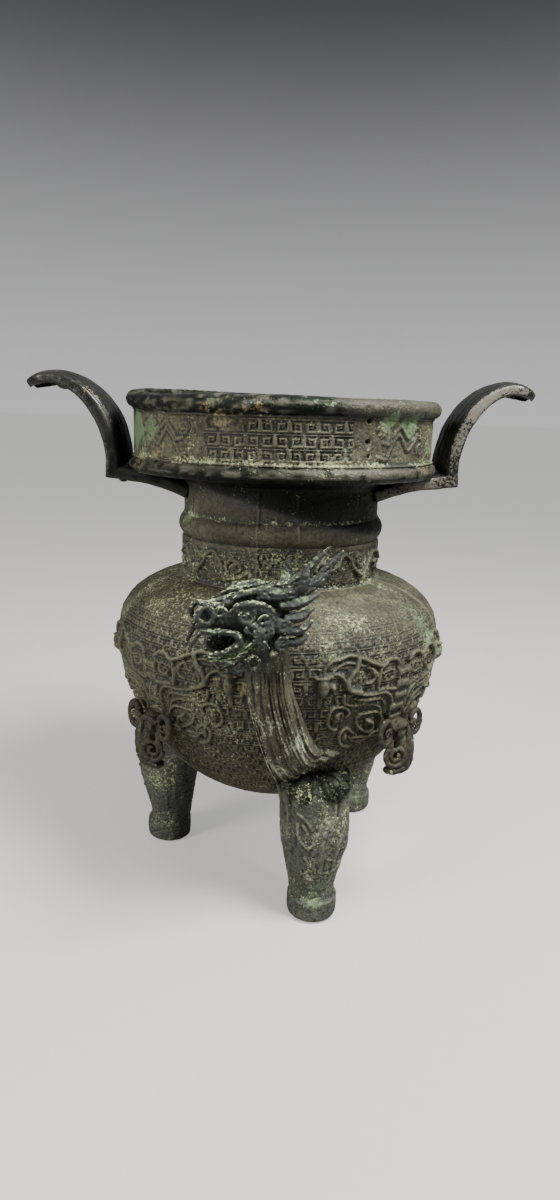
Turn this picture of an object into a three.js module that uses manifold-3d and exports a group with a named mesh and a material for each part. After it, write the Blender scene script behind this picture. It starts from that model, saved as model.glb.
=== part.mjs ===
// Archaistic bronze ding vessel: a globular belly on three legs, a waisted neck that carries a wide
// open drum, two upswept strap handles, a dragon on the front and beast masks round the belly.
// Millimetres, +Z up, front towards -Y. While it is built the vessel's own axis is x = y = 0 and its
// feet stand on z = 0; at the end the whole group moves so that the box's bottom centre is the origin.

import * as THREE from 'three';
import { mergeVertices } from 'three/addons/utils/BufferGeometryUtils.js';
import Module from 'manifold-3d';

const wasm = await Module();
wasm.setup();

// ---------------------------------------------------------------- driving dimensions

const GAP = 0.3;                 // clearance between castings that touch
const WALL = 4;                  // wall of belly and neck
const RELIEF_ROOT = 1.5;         // how deep raised work is rooted in the wall
const TURN_SEGMENTS = 36;        // facets round the vessel
const CAVITY_SEGMENTS = 20;      // facets round its inside

const BELLY = { radius: 86.7, widestZ: 133.4, bottomZ: 44.7, shoulderZ: 166.4 };
const NECK = { radius: 51.5, ringRadius: 54, ringLowZ: 187, ringHighZ: 198 };
const FLANGE = { lowZ: 219.2, highZ: 227.2, radius: 79.8 };
const DRUM = { radius: 77.2, lipZ: 257.2, lipRadius: 82, insideRadius: 73, floorZ: 224.6 };
const RIM_WARP = { lift: 4.4, turn: 0.55 };   // the rim stands highest at its back left (turn in radians)
const HANDLE = { width: 42, tipWidth: 34, rimDepth: 4.8, crown: 4, plainReach: 128.5 };
const LEG = { footRadius: 13.2, ankleRadius: 11.9, thighRadius: 17.4, topZ: 77.5 };
const MASK = { azimuths: [45, -45, 135, -135], ridgeHeight: 2.6, ridgeWidth: 3.4 };
const BEAST = { planeRadius: 84, earZ: 101.5, lipZ: 76.5, earReach: 11.6 };
const DRAGON_NECK = { width: 23, height: 9.5 };

const BRONZE = { olive: 0x5c5644, blackGreen: 0x2b3029, blueGreen: 0x56615a, deepGreen: 0x34443b };

// ---------------------------------------------------------------- solids from geometry

/** A manifold solid from vertex positions and triangles, turned right side out. */
function solidOf(positions, triangles) {
  const geometry = new THREE.BufferGeometry();
  geometry.setAttribute('position', new THREE.Float32BufferAttribute(positions, 3));
  geometry.setIndex(triangles);
  const merged = mergeVertices(geometry, 1e-4);
  const vertices = merged.attributes.position.array;
  const index = [];
  for (let i = 0; i < merged.index.count; i += 3) {
    const [a, b, c] = [0, 1, 2].map((k) => merged.index.getX(i + k));
    if (a !== b && b !== c && c !== a) index.push(a, b, c);
  }
  const point = (i) => new THREE.Vector3().fromArray(vertices, 3 * i);
  let volume = 0;
  for (let i = 0; i < index.length; i += 3) {
    volume += point(index[i]).dot(point(index[i + 1]).cross(point(index[i + 2])));
  }
  if (volume < 0) {
    for (let i = 0; i < index.length; i += 3) [index[i], index[i + 1]] = [index[i + 1], index[i]];
  }
  return new wasm.Manifold(new wasm.Mesh({
    numProp: 3, vertProperties: new Float32Array(vertices), triVerts: new Uint32Array(index),
  }));
}

/** A solid from a closed three.js geometry. */
function solidOfGeometry(geometry) {
  const count = geometry.attributes.position.count;
  const index = geometry.index ? [...geometry.index.array] : [...Array(count).keys()];
  return solidOf([...geometry.attributes.position.array], index);
}

/** A named mesh, flat shaded, from a solid. */
function meshOf(name, solid, colour, roughness = 0.62) {
  const { vertProperties, triVerts } = solid.getMesh();
  const geometry = new THREE.BufferGeometry();
  geometry.setAttribute('position', new THREE.Float32BufferAttribute(vertProperties, 3));
  geometry.setIndex([...triVerts]);
  const flat = geometry.toNonIndexed();
  flat.computeVertexNormals();
  const material = new THREE.MeshStandardMaterial({ color: colour, roughness, metalness: 0.7 });
  const mesh = new THREE.Mesh(flat, material);
  mesh.name = name;
  return mesh;
}

/** A solid of revolution about +Z from a profile of (radius, z) that starts and ends on the axis.
 *  The rim is a little out of true: its back left stands higher than its front. */
function revolve(profile, segments) {
  const geometry = new THREE.LatheGeometry(profile, segments);
  geometry.rotateX(Math.PI / 2);
  const places = geometry.attributes.position;
  for (let i = 0; i < places.count; i += 1) {
    const height = THREE.MathUtils.smoothstep(places.getZ(i), FLANGE.highZ, DRUM.lipZ - 8);
    const towards = places.getY(i) * Math.cos(RIM_WARP.turn) - places.getX(i) * Math.sin(RIM_WARP.turn);
    const back = THREE.MathUtils.smoothstep(towards, -DRUM.radius * 0.3, DRUM.radius);
    places.setZ(i, places.getZ(i) + RIM_WARP.lift * height * back);
  }
  return solidOfGeometry(geometry);
}

/** A section of (x, y) points carried through frames {at, side, up, width, height} and capped. */
function loft(section, frames) {
  const n = section.length;
  const positions = frames.flatMap((frame) => section.flatMap((p) => frame.at.clone()
    .addScaledVector(frame.side, p.x * frame.width)
    .addScaledVector(frame.up, p.y * frame.height)
    .toArray()));
  const triangles = [];
  for (let i = 0; i < frames.length - 1; i += 1) {
    for (let j = 0; j < n; j += 1) {
      const [a, b] = [i * n + j, i * n + (j + 1) % n];
      triangles.push(a, b, b + n, a, b + n, a + n);
    }
  }
  const outline = section.map((p) => p.clone());
  const anticlockwise = !THREE.ShapeUtils.isClockWise(outline);
  const last = (frames.length - 1) * n;
  for (const face of THREE.ShapeUtils.triangulateShape(outline, [])) {
    const faceTurns = !THREE.ShapeUtils.isClockWise(face.map((k) => section[k]));
    const [a, b, c] = faceTurns === anticlockwise ? face : [face[1], face[0], face[2]];
    triangles.push(a + last, b + last, c + last, b, a, c);
  }
  return solidOf(positions, triangles);
}

/** A regular section of unit radius with the given number of sides. */
function roundSection(sides) {
  return Array.from({ length: sides }, (_, i) => {
    const turn = (i / sides) * Math.PI * 2;
    return new THREE.Vector2(Math.cos(turn), Math.sin(turn));
  });
}

/** A round bar that tapers from one radius to another along a smooth curve through the points. */
function taperedBar(points, fromRadius, toRadius, { sides = 6, steps = 5, flatten = 1 } = {}) {
  const curve = new THREE.CatmullRomCurve3(points.map((p) => new THREE.Vector3(...p)));
  const section = roundSection(sides);
  const frames = Array.from({ length: steps + 1 }, (_, i) => {
    const t = i / steps;
    const along = curve.getTangent(t);
    const side = new THREE.Vector3(0, 1, 0).cross(along).normalize();
    const up = along.clone().cross(side).normalize();
    const radius = THREE.MathUtils.lerp(fromRadius, toRadius, t);
    return { at: curve.getPoint(t), side, up, width: radius, height: radius * flatten };
  });
  return loft(section, frames);
}

/** One solid from many overlapping ones. */
function joined(solids) {
  return solids.reduce((all, solid) => all.add(solid));
}

// ---------------------------------------------------------------- the vessel's outline

/** The belly's outer radius at height z: one superellipse below the widest line, one above. */
function bellyRadius(z) {
  if (z > BELLY.widestZ) {
    const rise = (z - BELLY.widestZ) / (BELLY.shoulderZ - BELLY.widestZ);
    const t = Math.asin(Math.min(1, rise ** (1 / 0.7)));
    return NECK.radius + (BELLY.radius - NECK.radius) * Math.cos(t) ** 1.4;
  }
  const drop = Math.max(0, (BELLY.widestZ - z) / (BELLY.widestZ - BELLY.bottomZ));
  const t = Math.asin(Math.min(1, drop ** (1 / 1.2)));
  return BELLY.radius * Math.cos(t) ** 0.8;
}

/** The belly's outline from the bottom pole to the shoulder, moved out by the offset. */
function bellyProfile(lowerSteps, upperSteps, offset = 0) {
  const heights = [];
  for (let i = 1; i <= lowerSteps; i += 1) {
    const t = (Math.PI / 2) * (1 - i / lowerSteps);
    heights.push(BELLY.widestZ - (BELLY.widestZ - BELLY.bottomZ) * Math.sin(t) ** 1.2);
  }
  for (let i = 1; i < upperSteps; i += 1) {
    const t = (Math.PI / 2) * (i / upperSteps);
    heights.push(BELLY.widestZ + (BELLY.shoulderZ - BELLY.widestZ) * Math.sin(t) ** 0.7);
  }
  const skin = heights.map((z) => {
    const slope = (bellyRadius(z + 0.05) - bellyRadius(z - 0.05)) / 0.1;
    const run = Math.hypot(1, slope);
    return new THREE.Vector2(bellyRadius(z) + offset / run, z - (offset * slope) / run);
  });
  return [new THREE.Vector2(0, BELLY.bottomZ - offset), ...skin];
}

/** Points (radius, z) of a circular arc in the outline, angles in degrees from the outward side. */
function arc(radius, z, size, from, to, steps) {
  return Array.from({ length: steps + 1 }, (_, i) => {
    const turn = THREE.MathUtils.degToRad(from + ((to - from) * i) / steps);
    return new THREE.Vector2(radius + size * Math.cos(turn), z + size * Math.sin(turn));
  });
}

/** The whole outside: belly, neck with its ring, flange, drum wall and rolled lip. */
function outerProfile(offset = 0) {
  const neck = NECK.radius + offset;
  const ringMid = (NECK.ringLowZ + NECK.ringHighZ) / 2;
  const flangeHalf = (FLANGE.highZ - FLANGE.lowZ) / 2;
  const lipHalf = 4;
  return [
    ...bellyProfile(9, 6, offset),
    new THREE.Vector2(neck + 1, BELLY.shoulderZ + 0.6 + offset),
    new THREE.Vector2(neck + 0.6, NECK.ringLowZ - offset),
    new THREE.Vector2(NECK.ringRadius + offset, ringMid - 3),
    new THREE.Vector2(NECK.ringRadius + offset, ringMid + 3),
    new THREE.Vector2(neck, NECK.ringHighZ + offset),
    new THREE.Vector2(neck, FLANGE.lowZ - 3 - offset),
    new THREE.Vector2(neck + 3, FLANGE.lowZ - offset),
    ...arc(FLANGE.radius - flangeHalf, FLANGE.lowZ + flangeHalf, flangeHalf + offset, -90, 90, 3),
    new THREE.Vector2(DRUM.radius + offset, FLANGE.highZ + 1.6 + offset),
    new THREE.Vector2(DRUM.radius + offset, DRUM.lipZ - 2 * lipHalf - 1.5 - offset),
    ...arc(DRUM.lipRadius - lipHalf, DRUM.lipZ - lipHalf, lipHalf + offset, -60, 90, 3),
    new THREE.Vector2(DRUM.insideRadius + 2.2, DRUM.lipZ - 0.8 + offset),
    new THREE.Vector2(0, DRUM.lipZ - 0.8 + offset),
  ];
}

/** The open inside: the drum's tray, the way down through the neck, and the belly's hollow. */
function cavityProfile() {
  const throat = NECK.radius - WALL;
  return [
    ...bellyProfile(5, 4, -WALL),
    new THREE.Vector2(throat, BELLY.shoulderZ - 2),
    new THREE.Vector2(throat, DRUM.floorZ - 1.5),
    new THREE.Vector2(throat + 1.5, DRUM.floorZ),
    new THREE.Vector2(DRUM.insideRadius - 3, DRUM.floorZ + 0.6),
    new THREE.Vector2(DRUM.insideRadius, DRUM.floorZ + 4),
    new THREE.Vector2(DRUM.insideRadius, DRUM.lipZ - 6),
    new THREE.Vector2(DRUM.insideRadius + 2.2, DRUM.lipZ + 1),
    new THREE.Vector2(0, DRUM.lipZ + 1),
  ];
}

const vesselBody = revolve(outerProfile(), TURN_SEGMENTS);
const vesselClearance = revolve(outerProfile(GAP), TURN_SEGMENTS);
const cavity = revolve(cavityProfile(), CAVITY_SEGMENTS);

// ---------------------------------------------------------------- raised work on the belly

/** Position and outward normal of the belly's skin at an azimuth in degrees from the front. */
function bellySkin(azimuth, z) {
  const turn = THREE.MathUtils.degToRad(azimuth);
  const out = new THREE.Vector3(Math.sin(turn), -Math.cos(turn), 0);
  const slope = (bellyRadius(z + 0.05) - bellyRadius(z - 0.05)) / 0.1;
  const normal = out.clone().setZ(-slope).normalize();
  return { at: out.clone().multiplyScalar(bellyRadius(z)).setZ(z), normal };
}

/** A ridge that follows the belly along points (azimuth, z); its ends taper. */
function ridge(points, width, height, steps) {
  const flat = points.map(([azimuth, z]) => new THREE.Vector3(azimuth, z, 0));
  const curve = new THREE.CatmullRomCurve3(flat);
  const spots = Array.from({ length: steps + 1 }, (_, i) => {
    const p = curve.getPoint(i / steps);
    return bellySkin(p.x, p.y);
  });
  const section = [[-0.5, 0], [0, 1], [0.5, 0]].map((p) => new THREE.Vector2(...p));
  const frames = spots.map(({ at, normal }, i) => {
    const before = spots[Math.max(0, i - 1)].at;
    const after = spots[Math.min(steps, i + 1)].at;
    const side = normal.clone().cross(after.clone().sub(before)).normalize();
    const end = i === 0 || i === steps;
    return {
      at: at.clone().addScaledVector(normal, -RELIEF_ROOT),
      side,
      up: normal,
      width: width * (end ? 0.55 : 1),
      height: (height + RELIEF_ROOT) * (end ? 0.8 : 1),
    };
  });
  return loft(section, frames);
}

// One half of a beast mask, as (degrees from the mask's centre line, height z).
const MASK_HALF = {
  brow: { steps: 4, path: [[30.4, 136], [28, 141.3], [22, 143], [12, 137], [8.5, 137], [6, 138.6]] },
  hornBlock: { steps: 4, path: [[10.5, 134], [6, 138], [2.8, 135.5], [2.5, 126], [4, 123.2]] },
  fin: { steps: 2, path: [[19.5, 141.5], [21, 135.5], [22.7, 130]] },
  bodyTop: {
    steps: 6,
    path: [[31.5, 133.6], [27.4, 135], [23.2, 130], [18, 124], [9, 122.6], [5, 119], [3, 108]],
  },
  bodyLow: { steps: 4, path: [[23.4, 124], [21, 118.4], [13, 117.4], [8.8, 113.5], [7.2, 107]] },
  curl: { steps: 4, path: [[21.4, 112.4], [22.7, 117.4], [27.4, 116], [27.9, 109.5], [24.6, 105.8]] },
  spiral: {
    steps: 5,
    path: [[6.5, 104], [8, 111], [13, 113], [17.4, 109.5], [15, 104], [10.6, 103.5], [11.8, 108]],
  },
  claw: { steps: 3, path: [[17, 102.5], [21.4, 105], [22.6, 99], [19, 94.4], [12, 98]] },
};
const MASK_SNOUT = { azimuth: 30.6, z: 128.5, width: 6.5, height: 13, stand: 7, outerStand: 3 };

/** The swollen snout at a mask's outer end: a rounded lobe standing off the belly. */
function snout(centre, hand) {
  const { azimuth, z, width, height } = MASK_SNOUT;
  const facesFront = Math.abs(centre + hand * azimuth) < Math.abs(centre);
  const stand = facesFront ? MASK_SNOUT.stand : MASK_SNOUT.outerStand;
  const { at, normal } = bellySkin(centre + hand * azimuth, z);
  const side = new THREE.Vector3(0, 0, 1).cross(normal).normalize();
  const up = normal.clone().cross(side);
  const frames = [[-RELIEF_ROOT, 1.15], [stand * 0.6, 1], [stand, 0.5]].map(([out, size]) => ({
    at: at.clone().addScaledVector(normal, out),
    side,
    up,
    width: (size * width) / 2,
    height: (size * height) / 2,
  }));
  return loft(roundSection(7), frames);
}

/** A beast mask: mirrored strokes, a ribbed nose and two snouts. The hidden ones are plainer. */
function mask(centre, plain) {
  const { ridgeWidth, ridgeHeight } = MASK;
  const names = plain ? ['brow', 'bodyTop'] : Object.keys(MASK_HALF);
  const pieces = [];
  for (const hand of [1, -1]) {
    for (const name of names) {
      const { path, steps } = MASK_HALF[name];
      const points = path.map(([azimuth, z]) => [centre + hand * azimuth, z]);
      pieces.push(ridge(points, ridgeWidth, ridgeHeight, plain ? Math.ceil(steps * 0.6) : steps));
    }
    if (!plain) pieces.push(snout(centre, hand));
  }
  if (!plain) {
    for (let rung = 0; rung < 3; rung += 1) {
      const z = 130 - rung * 8;
      pieces.push(ridge([[centre - 2.6, z], [centre + 2.6, z]], 2.6, 1.8, 1));
    }
  }
  return pieces;
}

// The dragon's neck up the belly: azimuth in degrees, height z and how much wider than its plain width.
const DRAGON_CLIMB = [
  [14.5, 79.5, 1.5], [11, 86, 1.32], [6.4, 96, 1.14],
  [1.8, 110, 1.04], [-1.4, 124, 0.98], [-2.6, 138, 0.9],
];
const DRAGON_THROAT = { at: [-3.6, -80, 151.5], width: 19, height: 17 };   // where it rises free

/** The dragon's grooved neck: it climbs the belly from the front leg and rises free at the top. */
function dragonNeck(air = 0) {
  const spots = DRAGON_CLIMB.map(([azimuth, z, widen]) => ({ ...bellySkin(azimuth, z), widen }));
  const section = [];
  const sides = 8;
  for (let i = 0; i <= sides; i += 1) {
    const t = (i / sides) * Math.PI;
    const groove = i === 3 || i === 5 ? 0.82 : 1;
    section.push(new THREE.Vector2(-Math.cos(t) / 2, Math.sin(t) * groove));
  }
  const frames = spots.map(({ at, normal, widen }, i) => {
    const before = spots[Math.max(0, i - 1)].at;
    const after = spots[Math.min(spots.length - 1, i + 1)].at;
    return {
      at: at.clone().addScaledVector(normal, -RELIEF_ROOT),
      side: normal.clone().cross(after.clone().sub(before)).normalize(),
      up: normal,
      width: DRAGON_NECK.width * widen + 2 * air,
      height: DRAGON_NECK.height * (i === 0 ? 0.5 : 1) + RELIEF_ROOT + air,
    };
  });
  const root = frames.at(-1);
  frames.push({
    ...root,
    at: new THREE.Vector3(...DRAGON_THROAT.at).add(new THREE.Vector3(0, 0, air)),
    side: root.side,
    up: new THREE.Vector3(0, -0.94, -0.34),
    width: DRAGON_THROAT.width + 2 * air,
    height: DRAGON_THROAT.height + air,
  });
  return loft(section, frames);
}

const neckClearance = dragonNeck(GAP);

function makeVessel() {
  const raised = MASK.azimuths.flatMap((azimuth) => mask(azimuth, Math.abs(azimuth) > 90));
  const solid = joined([vesselBody, ...raised, dragonNeck()]).subtract(cavity);
  return meshOf('vessel', solid, BRONZE.olive);
}

// ---------------------------------------------------------------- handles

// A handle's near edge seen from the front, for a handle on the +X side: (x, z) of its top face.
const HANDLE_ARM = [[47, 211], [57, 214.8], [69, 218], [77.5, 218.9]];
const HANDLE_CORNER = [84.2, 220.2];
const HANDLE_RISE = [[84.2, 228], [89, 245.4], [95.6, 255.6], [103.6, 262.4], [112, 265.6]];
const HANDLE_TIP = [[119, 265.6], [125, 263.6]];

/** A strap handle: a crowned strap with a hollow back, bent square at the flange and curled out. */
function makeHandle(name, sideSign, reach) {
  const extra = (reach - HANDLE.plainReach) / (HANDLE.plainReach - HANDLE_CORNER[0]);
  const spread = (x) => x + Math.max(0, x - HANDLE_CORNER[0]) * extra;
  const line = [...HANDLE_ARM, HANDLE_CORNER, ...HANDLE_RISE, ...HANDLE_TIP];
  const points = line.map(([x, z]) => new THREE.Vector3(sideSign * spread(x), 0, z));
  points.push(new THREE.Vector3(sideSign * reach, 0, 261.4));
  const half = 0.5;
  const rim = 0.085;
  const edge = [[-half, -1], [-half, 0]];
  const rise = HANDLE.crown / HANDLE.rimDepth;
  const crown = [[-0.26, 0.82 * rise], [0, rise], [0.26, 0.82 * rise]];
  const back = [[half - rim, -1], [half - 1.4 * rim, -0.42], [-half + 1.4 * rim, -0.42], [-half + rim, -1]];
  const section = [...edge, ...crown, [half, 0], [half, -1], ...back].map((p) => new THREE.Vector2(...p));
  const cornerAt = HANDLE_ARM.length;
  const frames = points.map((at, i) => {
    const before = points[Math.max(0, i - 1)].clone().sub(at).normalize();
    const after = points[Math.min(points.length - 1, i + 1)].clone().sub(at).normalize();
    const along = after.clone().sub(before).normalize();
    const up = new THREE.Vector3(-along.z * sideSign, 0, along.x * sideSign).normalize();
    const nextUp = new THREE.Vector3(-after.z * sideSign, 0, after.x * sideSign);
    const mitre = 1 / Math.max(0.6, Math.abs(up.dot(nextUp)) || 1);
    const late = Math.max(0, (i - cornerAt - 4) / (points.length - 1 - cornerAt - 4));
    const plan = i === points.length - 1 ? 0.62 : 1;
    const width = THREE.MathUtils.lerp(HANDLE.width, HANDLE.tipWidth, late) * plan;
    const thin = 1 - 0.4 * Math.max(0, late);
    return { at, side: new THREE.Vector3(0, 1, 0), up, width, height: HANDLE.rimDepth * mitre * thin };
  });
  let solid = loft(section, frames).subtract(vesselClearance);
  if (sideSign < 0) {
    const rivet = new THREE.SphereGeometry(2.1, 6, 4);
    rivet.translate(-80.5, -HANDLE.width / 2 + 1.6, 213.6);
    solid = solid.add(solidOfGeometry(rivet));
  }
  return meshOf(name, solid, BRONZE.blackGreen, 0.55);
}

// ---------------------------------------------------------------- legs

// A leg's stations from the sole up: height, radius and how far it stands out from the foot's centre.
const LEG_STATIONS = [
  [0, LEG.footRadius - 2, 0.2], [1.8, LEG.footRadius - 0.4, 0.4], [11.2, LEG.footRadius - 0.4, 0.3],
  [13, LEG.ankleRadius + 0.2, -0.6], [17.5, LEG.ankleRadius, -0.9], [32, LEG.thighRadius - 2.4, 0],
  [45, LEG.thighRadius, 0.6], [60, LEG.thighRadius, -1],
  [72.5, LEG.thighRadius + 0.4, -3.4], [LEG.topZ, LEG.thighRadius - 2.4, -6],
];

/** A hoofed leg that stands at the given azimuth and is fitted under the belly. */
function makeLeg(name, azimuth, radius) {
  const turn = THREE.MathUtils.degToRad(azimuth);
  const out = new THREE.Vector3(Math.sin(turn), -Math.cos(turn), 0);
  const across = new THREE.Vector3(0, 0, 1).cross(out);
  const frames = LEG_STATIONS.map(([z, size, stand]) => ({
    at: out.clone().multiplyScalar(radius + stand).setZ(z),
    side: out,
    up: across,
    width: size,
    height: size * 1.02,
  }));
  const solid = loft(roundSection(12), frames).subtract(vesselClearance).subtract(neckClearance);
  return meshOf(name, solid, BRONZE.blueGreen, 0.7);
}

// ---------------------------------------------------------------- beast heads under the masks

/** A small beast head: two loop ears, a brow and a curled trunk that ends in a flat lip. */
function makeBeastHead(name, azimuth) {
  const turn = THREE.MathUtils.degToRad(azimuth);
  const out = new THREE.Vector3(Math.sin(turn), -Math.cos(turn), 0);
  const across = new THREE.Vector3(0, 0, 1).cross(out);
  const up = new THREE.Vector3(0, 0, 1);
  const place = (side, radius, z) => (
    out.clone().multiplyScalar(radius).addScaledVector(across, side).setZ(z));
  const { planeRadius, earZ, lipZ, earReach } = BEAST;

  const trunkStations = [                       // height, radius, half width, half depth
    [lipZ, 84.5, 8.6, 5.4], [lipZ + 2.4, 84.8, 9.4, 6.2], [lipZ + 3.4, 83.4, 7.6, 5.6],
    [lipZ + 12, 83, 9, 8.4], [lipZ + 18.5, 83, 7.4, 8], [lipZ + 25, 83.4, 7.2, 7.4],
    [lipZ + 29.5, 82.6, 5.4, 4.6],
  ];
  const trunk = loft(roundSection(8), trunkStations.map(([z, radius, wide, deep]) => (
    { at: place(0, radius, z), side: across, up: out, width: wide, height: deep })));

  const ears = [1, -1].map((hand) => {
    const ear = new THREE.TorusGeometry(4.9, 2.1, 4, 6);
    ear.scale(1, 1.25, 1.1);
    ear.rotateZ(hand * -0.45);
    const basis = new THREE.Matrix4().makeBasis(across, up, across.clone().cross(up));
    ear.applyMatrix4(basis);
    ear.translate(...place(hand * earReach, planeRadius + 2.4, earZ - 1).toArray());
    return solidOfGeometry(ear);
  });
  const scrolls = [1, -1].map((hand) => {
    const scroll = new THREE.CylinderGeometry(4.6, 5.6, 3, 6);
    const [beside, below] = [across, up].map((axis) => axis.clone().multiplyScalar(hand));
    const basis = new THREE.Matrix4().makeBasis(out, beside, below.negate());
    scroll.applyMatrix4(basis);
    scroll.translate(...place(hand * 9, 84.6, lipZ + 12.5).toArray());
    return solidOfGeometry(scroll);
  });
  const solid = joined([trunk, ...ears, ...scrolls]).subtract(vesselClearance);
  return meshOf(name, solid, BRONZE.deepGreen, 0.6);
}

// ---------------------------------------------------------------- the dragon's head

/** The dragon's head: it looks to the side, jaws open, horns and locks of mane swept back. */
function makeDragonHead() {
  const along = new THREE.Vector3(-0.93, -0.36, 0);
  const near = new THREE.Vector3(0.36, -0.93, 0);
  const up = new THREE.Vector3(0, 0, 1);
  const head = new THREE.Vector3(-5, -97.5, 164);
  const place = (forward, lateral, rise) => head.clone()
    .addScaledVector(along, forward).addScaledVector(near, lateral).addScaledVector(up, rise);
  const bar = (path, ...rest) => taperedBar(path.map((p) => place(...p).toArray()), ...rest);
  const tube = (stations, sides = 8) => loft(roundSection(sides), stations.map(
    ([forward, rise, halfWidth, halfHeight]) => (
      { at: place(forward, 0, rise), side: near, up, width: halfWidth, height: halfHeight })));

  const skull = tube([
    [-9.5, 0.5, 5, 6], [-6, 0, 9.5, 10.5], [0, 0.5, 11, 12], [6, 2.2, 10.5, 10], [11, 3.6, 9.4, 7.2],
    [17, 2.6, 8.4, 5], [24, 2.8, 8, 4.2], [29, 5.2, 8.2, 4.8], [32.6, 6.6, 5.6, 2.8],
  ]);
  const jaw = tube([
    [4, -8, 8, 6], [10, -11.6, 8, 4.4], [17, -14, 6.8, 2.6], [24, -15.6, 5, 1.9], [27.5, -15.2, 2.6, 1.1],
  ], 6);
  const collar = bar([[2, -2, -6], [0.4, -3, -12], [-1.4, -5, -17]], 9.5, 8.6, { sides: 8, steps: 2 });

  const pieces = [skull, jaw, collar];
  const curl = { sides: 5, steps: 3 };
  const horn = { sides: 5, steps: 6 };
  const prong = { sides: 4, steps: 2 };
  const lock = { sides: 4, steps: 3 };
  for (const hand of [1, -1]) {
    pieces.push(bar([
      [27, hand * 4.4, 5], [31, hand * 5, 9], [27.4, hand * 5, 10.6], [25, hand * 5, 8],
    ], 2.6, 1.4, curl));
    pieces.push(bar([
      [9, hand * 8, 8], [0, hand * 8.4, 11.5], [-10, hand * 7.6, 11],
      [-19, hand * 6.6, 15], [-26, hand * 6, 23], [-33, hand * 5.4, 30],
    ], 3.4, 0.9, horn));
    pieces.push(bar([
      [-10, hand * 8.5, 9.5], [-13.4, hand * 10, 16], [-13.2, hand * 10, 24],
    ], 2.6, 1, prong));
    const locks = [[7, 8.6, 13], [-4, -3.2, 0.6], [1, 2.6, 5.8], [-6.4, -8, -4.6]];
    for (const [from, middle, to] of locks.slice(0, hand > 0 ? 4 : 2)) {
      const path = [[-3, hand * 7.6, from], [-12, hand * 10, middle], [-22, hand * 8.5, to]];
      pieces.push(bar(path, 3.2, 0.7, lock));
    }
    for (const [forward, rise] of hand > 0 ? [[-5, -1.5], [-5, -9]] : [[-5, -5]]) {
      const knob = new THREE.SphereGeometry(4.2, 6, 4);
      knob.scale(1, 0.6, 1);
      knob.rotateZ(Math.atan2(near.y, near.x) - Math.PI / 2);
      knob.translate(...place(forward, hand * 9.4, rise).toArray());
      pieces.push(solidOfGeometry(knob));
    }
    pieces.push(bar([
      [11, hand * 5, -14], [8, hand * 5.5, -19], [12, hand * 5.5, -22],
    ], 2.2, 0.9, prong));
  }
  const solid = joined(pieces).subtract(neckClearance).subtract(vesselClearance);
  return meshOf('dragon_head', solid, BRONZE.deepGreen, 0.5);
}

// ---------------------------------------------------------------- the whole piece

const piece = new THREE.Group();
piece.add(
  makeVessel(),
  makeHandle('handle_right', 1, HANDLE.plainReach),
  makeHandle('handle_left', -1, HANDLE.plainReach + 3.5),
  makeLeg('leg_front', 18.8, 66.5),
  makeLeg('leg_left', -99, 62.3),
  makeLeg('leg_rear', 135, 71),
  makeBeastHead('beast_head_right', 46.5),
  makeBeastHead('beast_head_left', -46.5),
  makeDragonHead(),
);

const box = new THREE.Box3().setFromObject(piece);
const centre = box.getCenter(new THREE.Vector3());
piece.position.set(-centre.x, -centre.y, -box.min.z);

export default piece;
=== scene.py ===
"""Looks for a bronze ding vessel: a carved belly, neck and drum, strap handles, hoofed legs, two beast
heads and a dragon, with patina, dust and wear. Lengths inside the functions are millimetres."""

from collections import namedtuple

import bpy
import numpy as np
from bpy.props import FloatProperty, FloatVectorProperty, IntProperty, PointerProperty
from mathutils import Matrix, Vector


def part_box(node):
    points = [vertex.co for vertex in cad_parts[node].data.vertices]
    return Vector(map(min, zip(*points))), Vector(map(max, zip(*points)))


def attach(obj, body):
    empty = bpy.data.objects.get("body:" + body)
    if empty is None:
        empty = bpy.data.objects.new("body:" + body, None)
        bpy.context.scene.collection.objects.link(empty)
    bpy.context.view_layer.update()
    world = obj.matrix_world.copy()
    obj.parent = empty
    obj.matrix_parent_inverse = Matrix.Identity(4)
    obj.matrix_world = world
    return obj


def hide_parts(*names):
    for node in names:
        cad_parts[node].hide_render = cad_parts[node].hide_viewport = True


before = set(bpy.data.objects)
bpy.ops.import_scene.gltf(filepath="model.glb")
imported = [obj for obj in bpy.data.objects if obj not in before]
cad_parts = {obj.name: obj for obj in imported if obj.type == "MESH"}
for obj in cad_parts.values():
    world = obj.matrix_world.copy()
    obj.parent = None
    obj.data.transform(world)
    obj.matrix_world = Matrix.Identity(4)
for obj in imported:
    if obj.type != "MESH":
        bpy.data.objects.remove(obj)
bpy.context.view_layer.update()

bl_info = {
    "name": "Bronze ding vessel",
    "version": (1, 0, 0),
    "blender": (4, 5, 0),
    "location": "View3D > Sidebar > Ding",
    "description": "Builds the carved and patinated surfaces of a bronze ding around its solid model",
    "category": "Object",
}

MM = 0.001
# A mesh's vertices, their normals and how proud they stand.
Skin = namedtuple("Skin", "places normals rise")
# What a piece can be stained with, the soot mask carrying painted shade as well and the dust mask painted
# highlights as well, and all the values that its material reads from its vertices.
STAINS = ("green", "ochre", "soot_and_shade", "dust_and_highlight")
SKIN_VALUES = ("hollow", "crest", *STAINS)
# Mixing numbers of the noise: one for each axis, one for the seed, one for the final stir.
AXIS_PRIMES = (73856093, 19349663, 83492791)
SEED_PRIME = 2654435761
STIR_PRIME = 1274126177


def vessel_axis():
    """The vessel's own axis in the frame: midway between the handles' roots."""
    right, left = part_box("handle_right"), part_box("handle_left")
    return np.array([(right[0].x + left[1].x) / 2, (right[0].y + right[1].y) / 2, 0.0]) / MM


AXIS = vessel_axis()

# ---------------------------------------------------------------- sizes and colours a user would change


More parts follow.
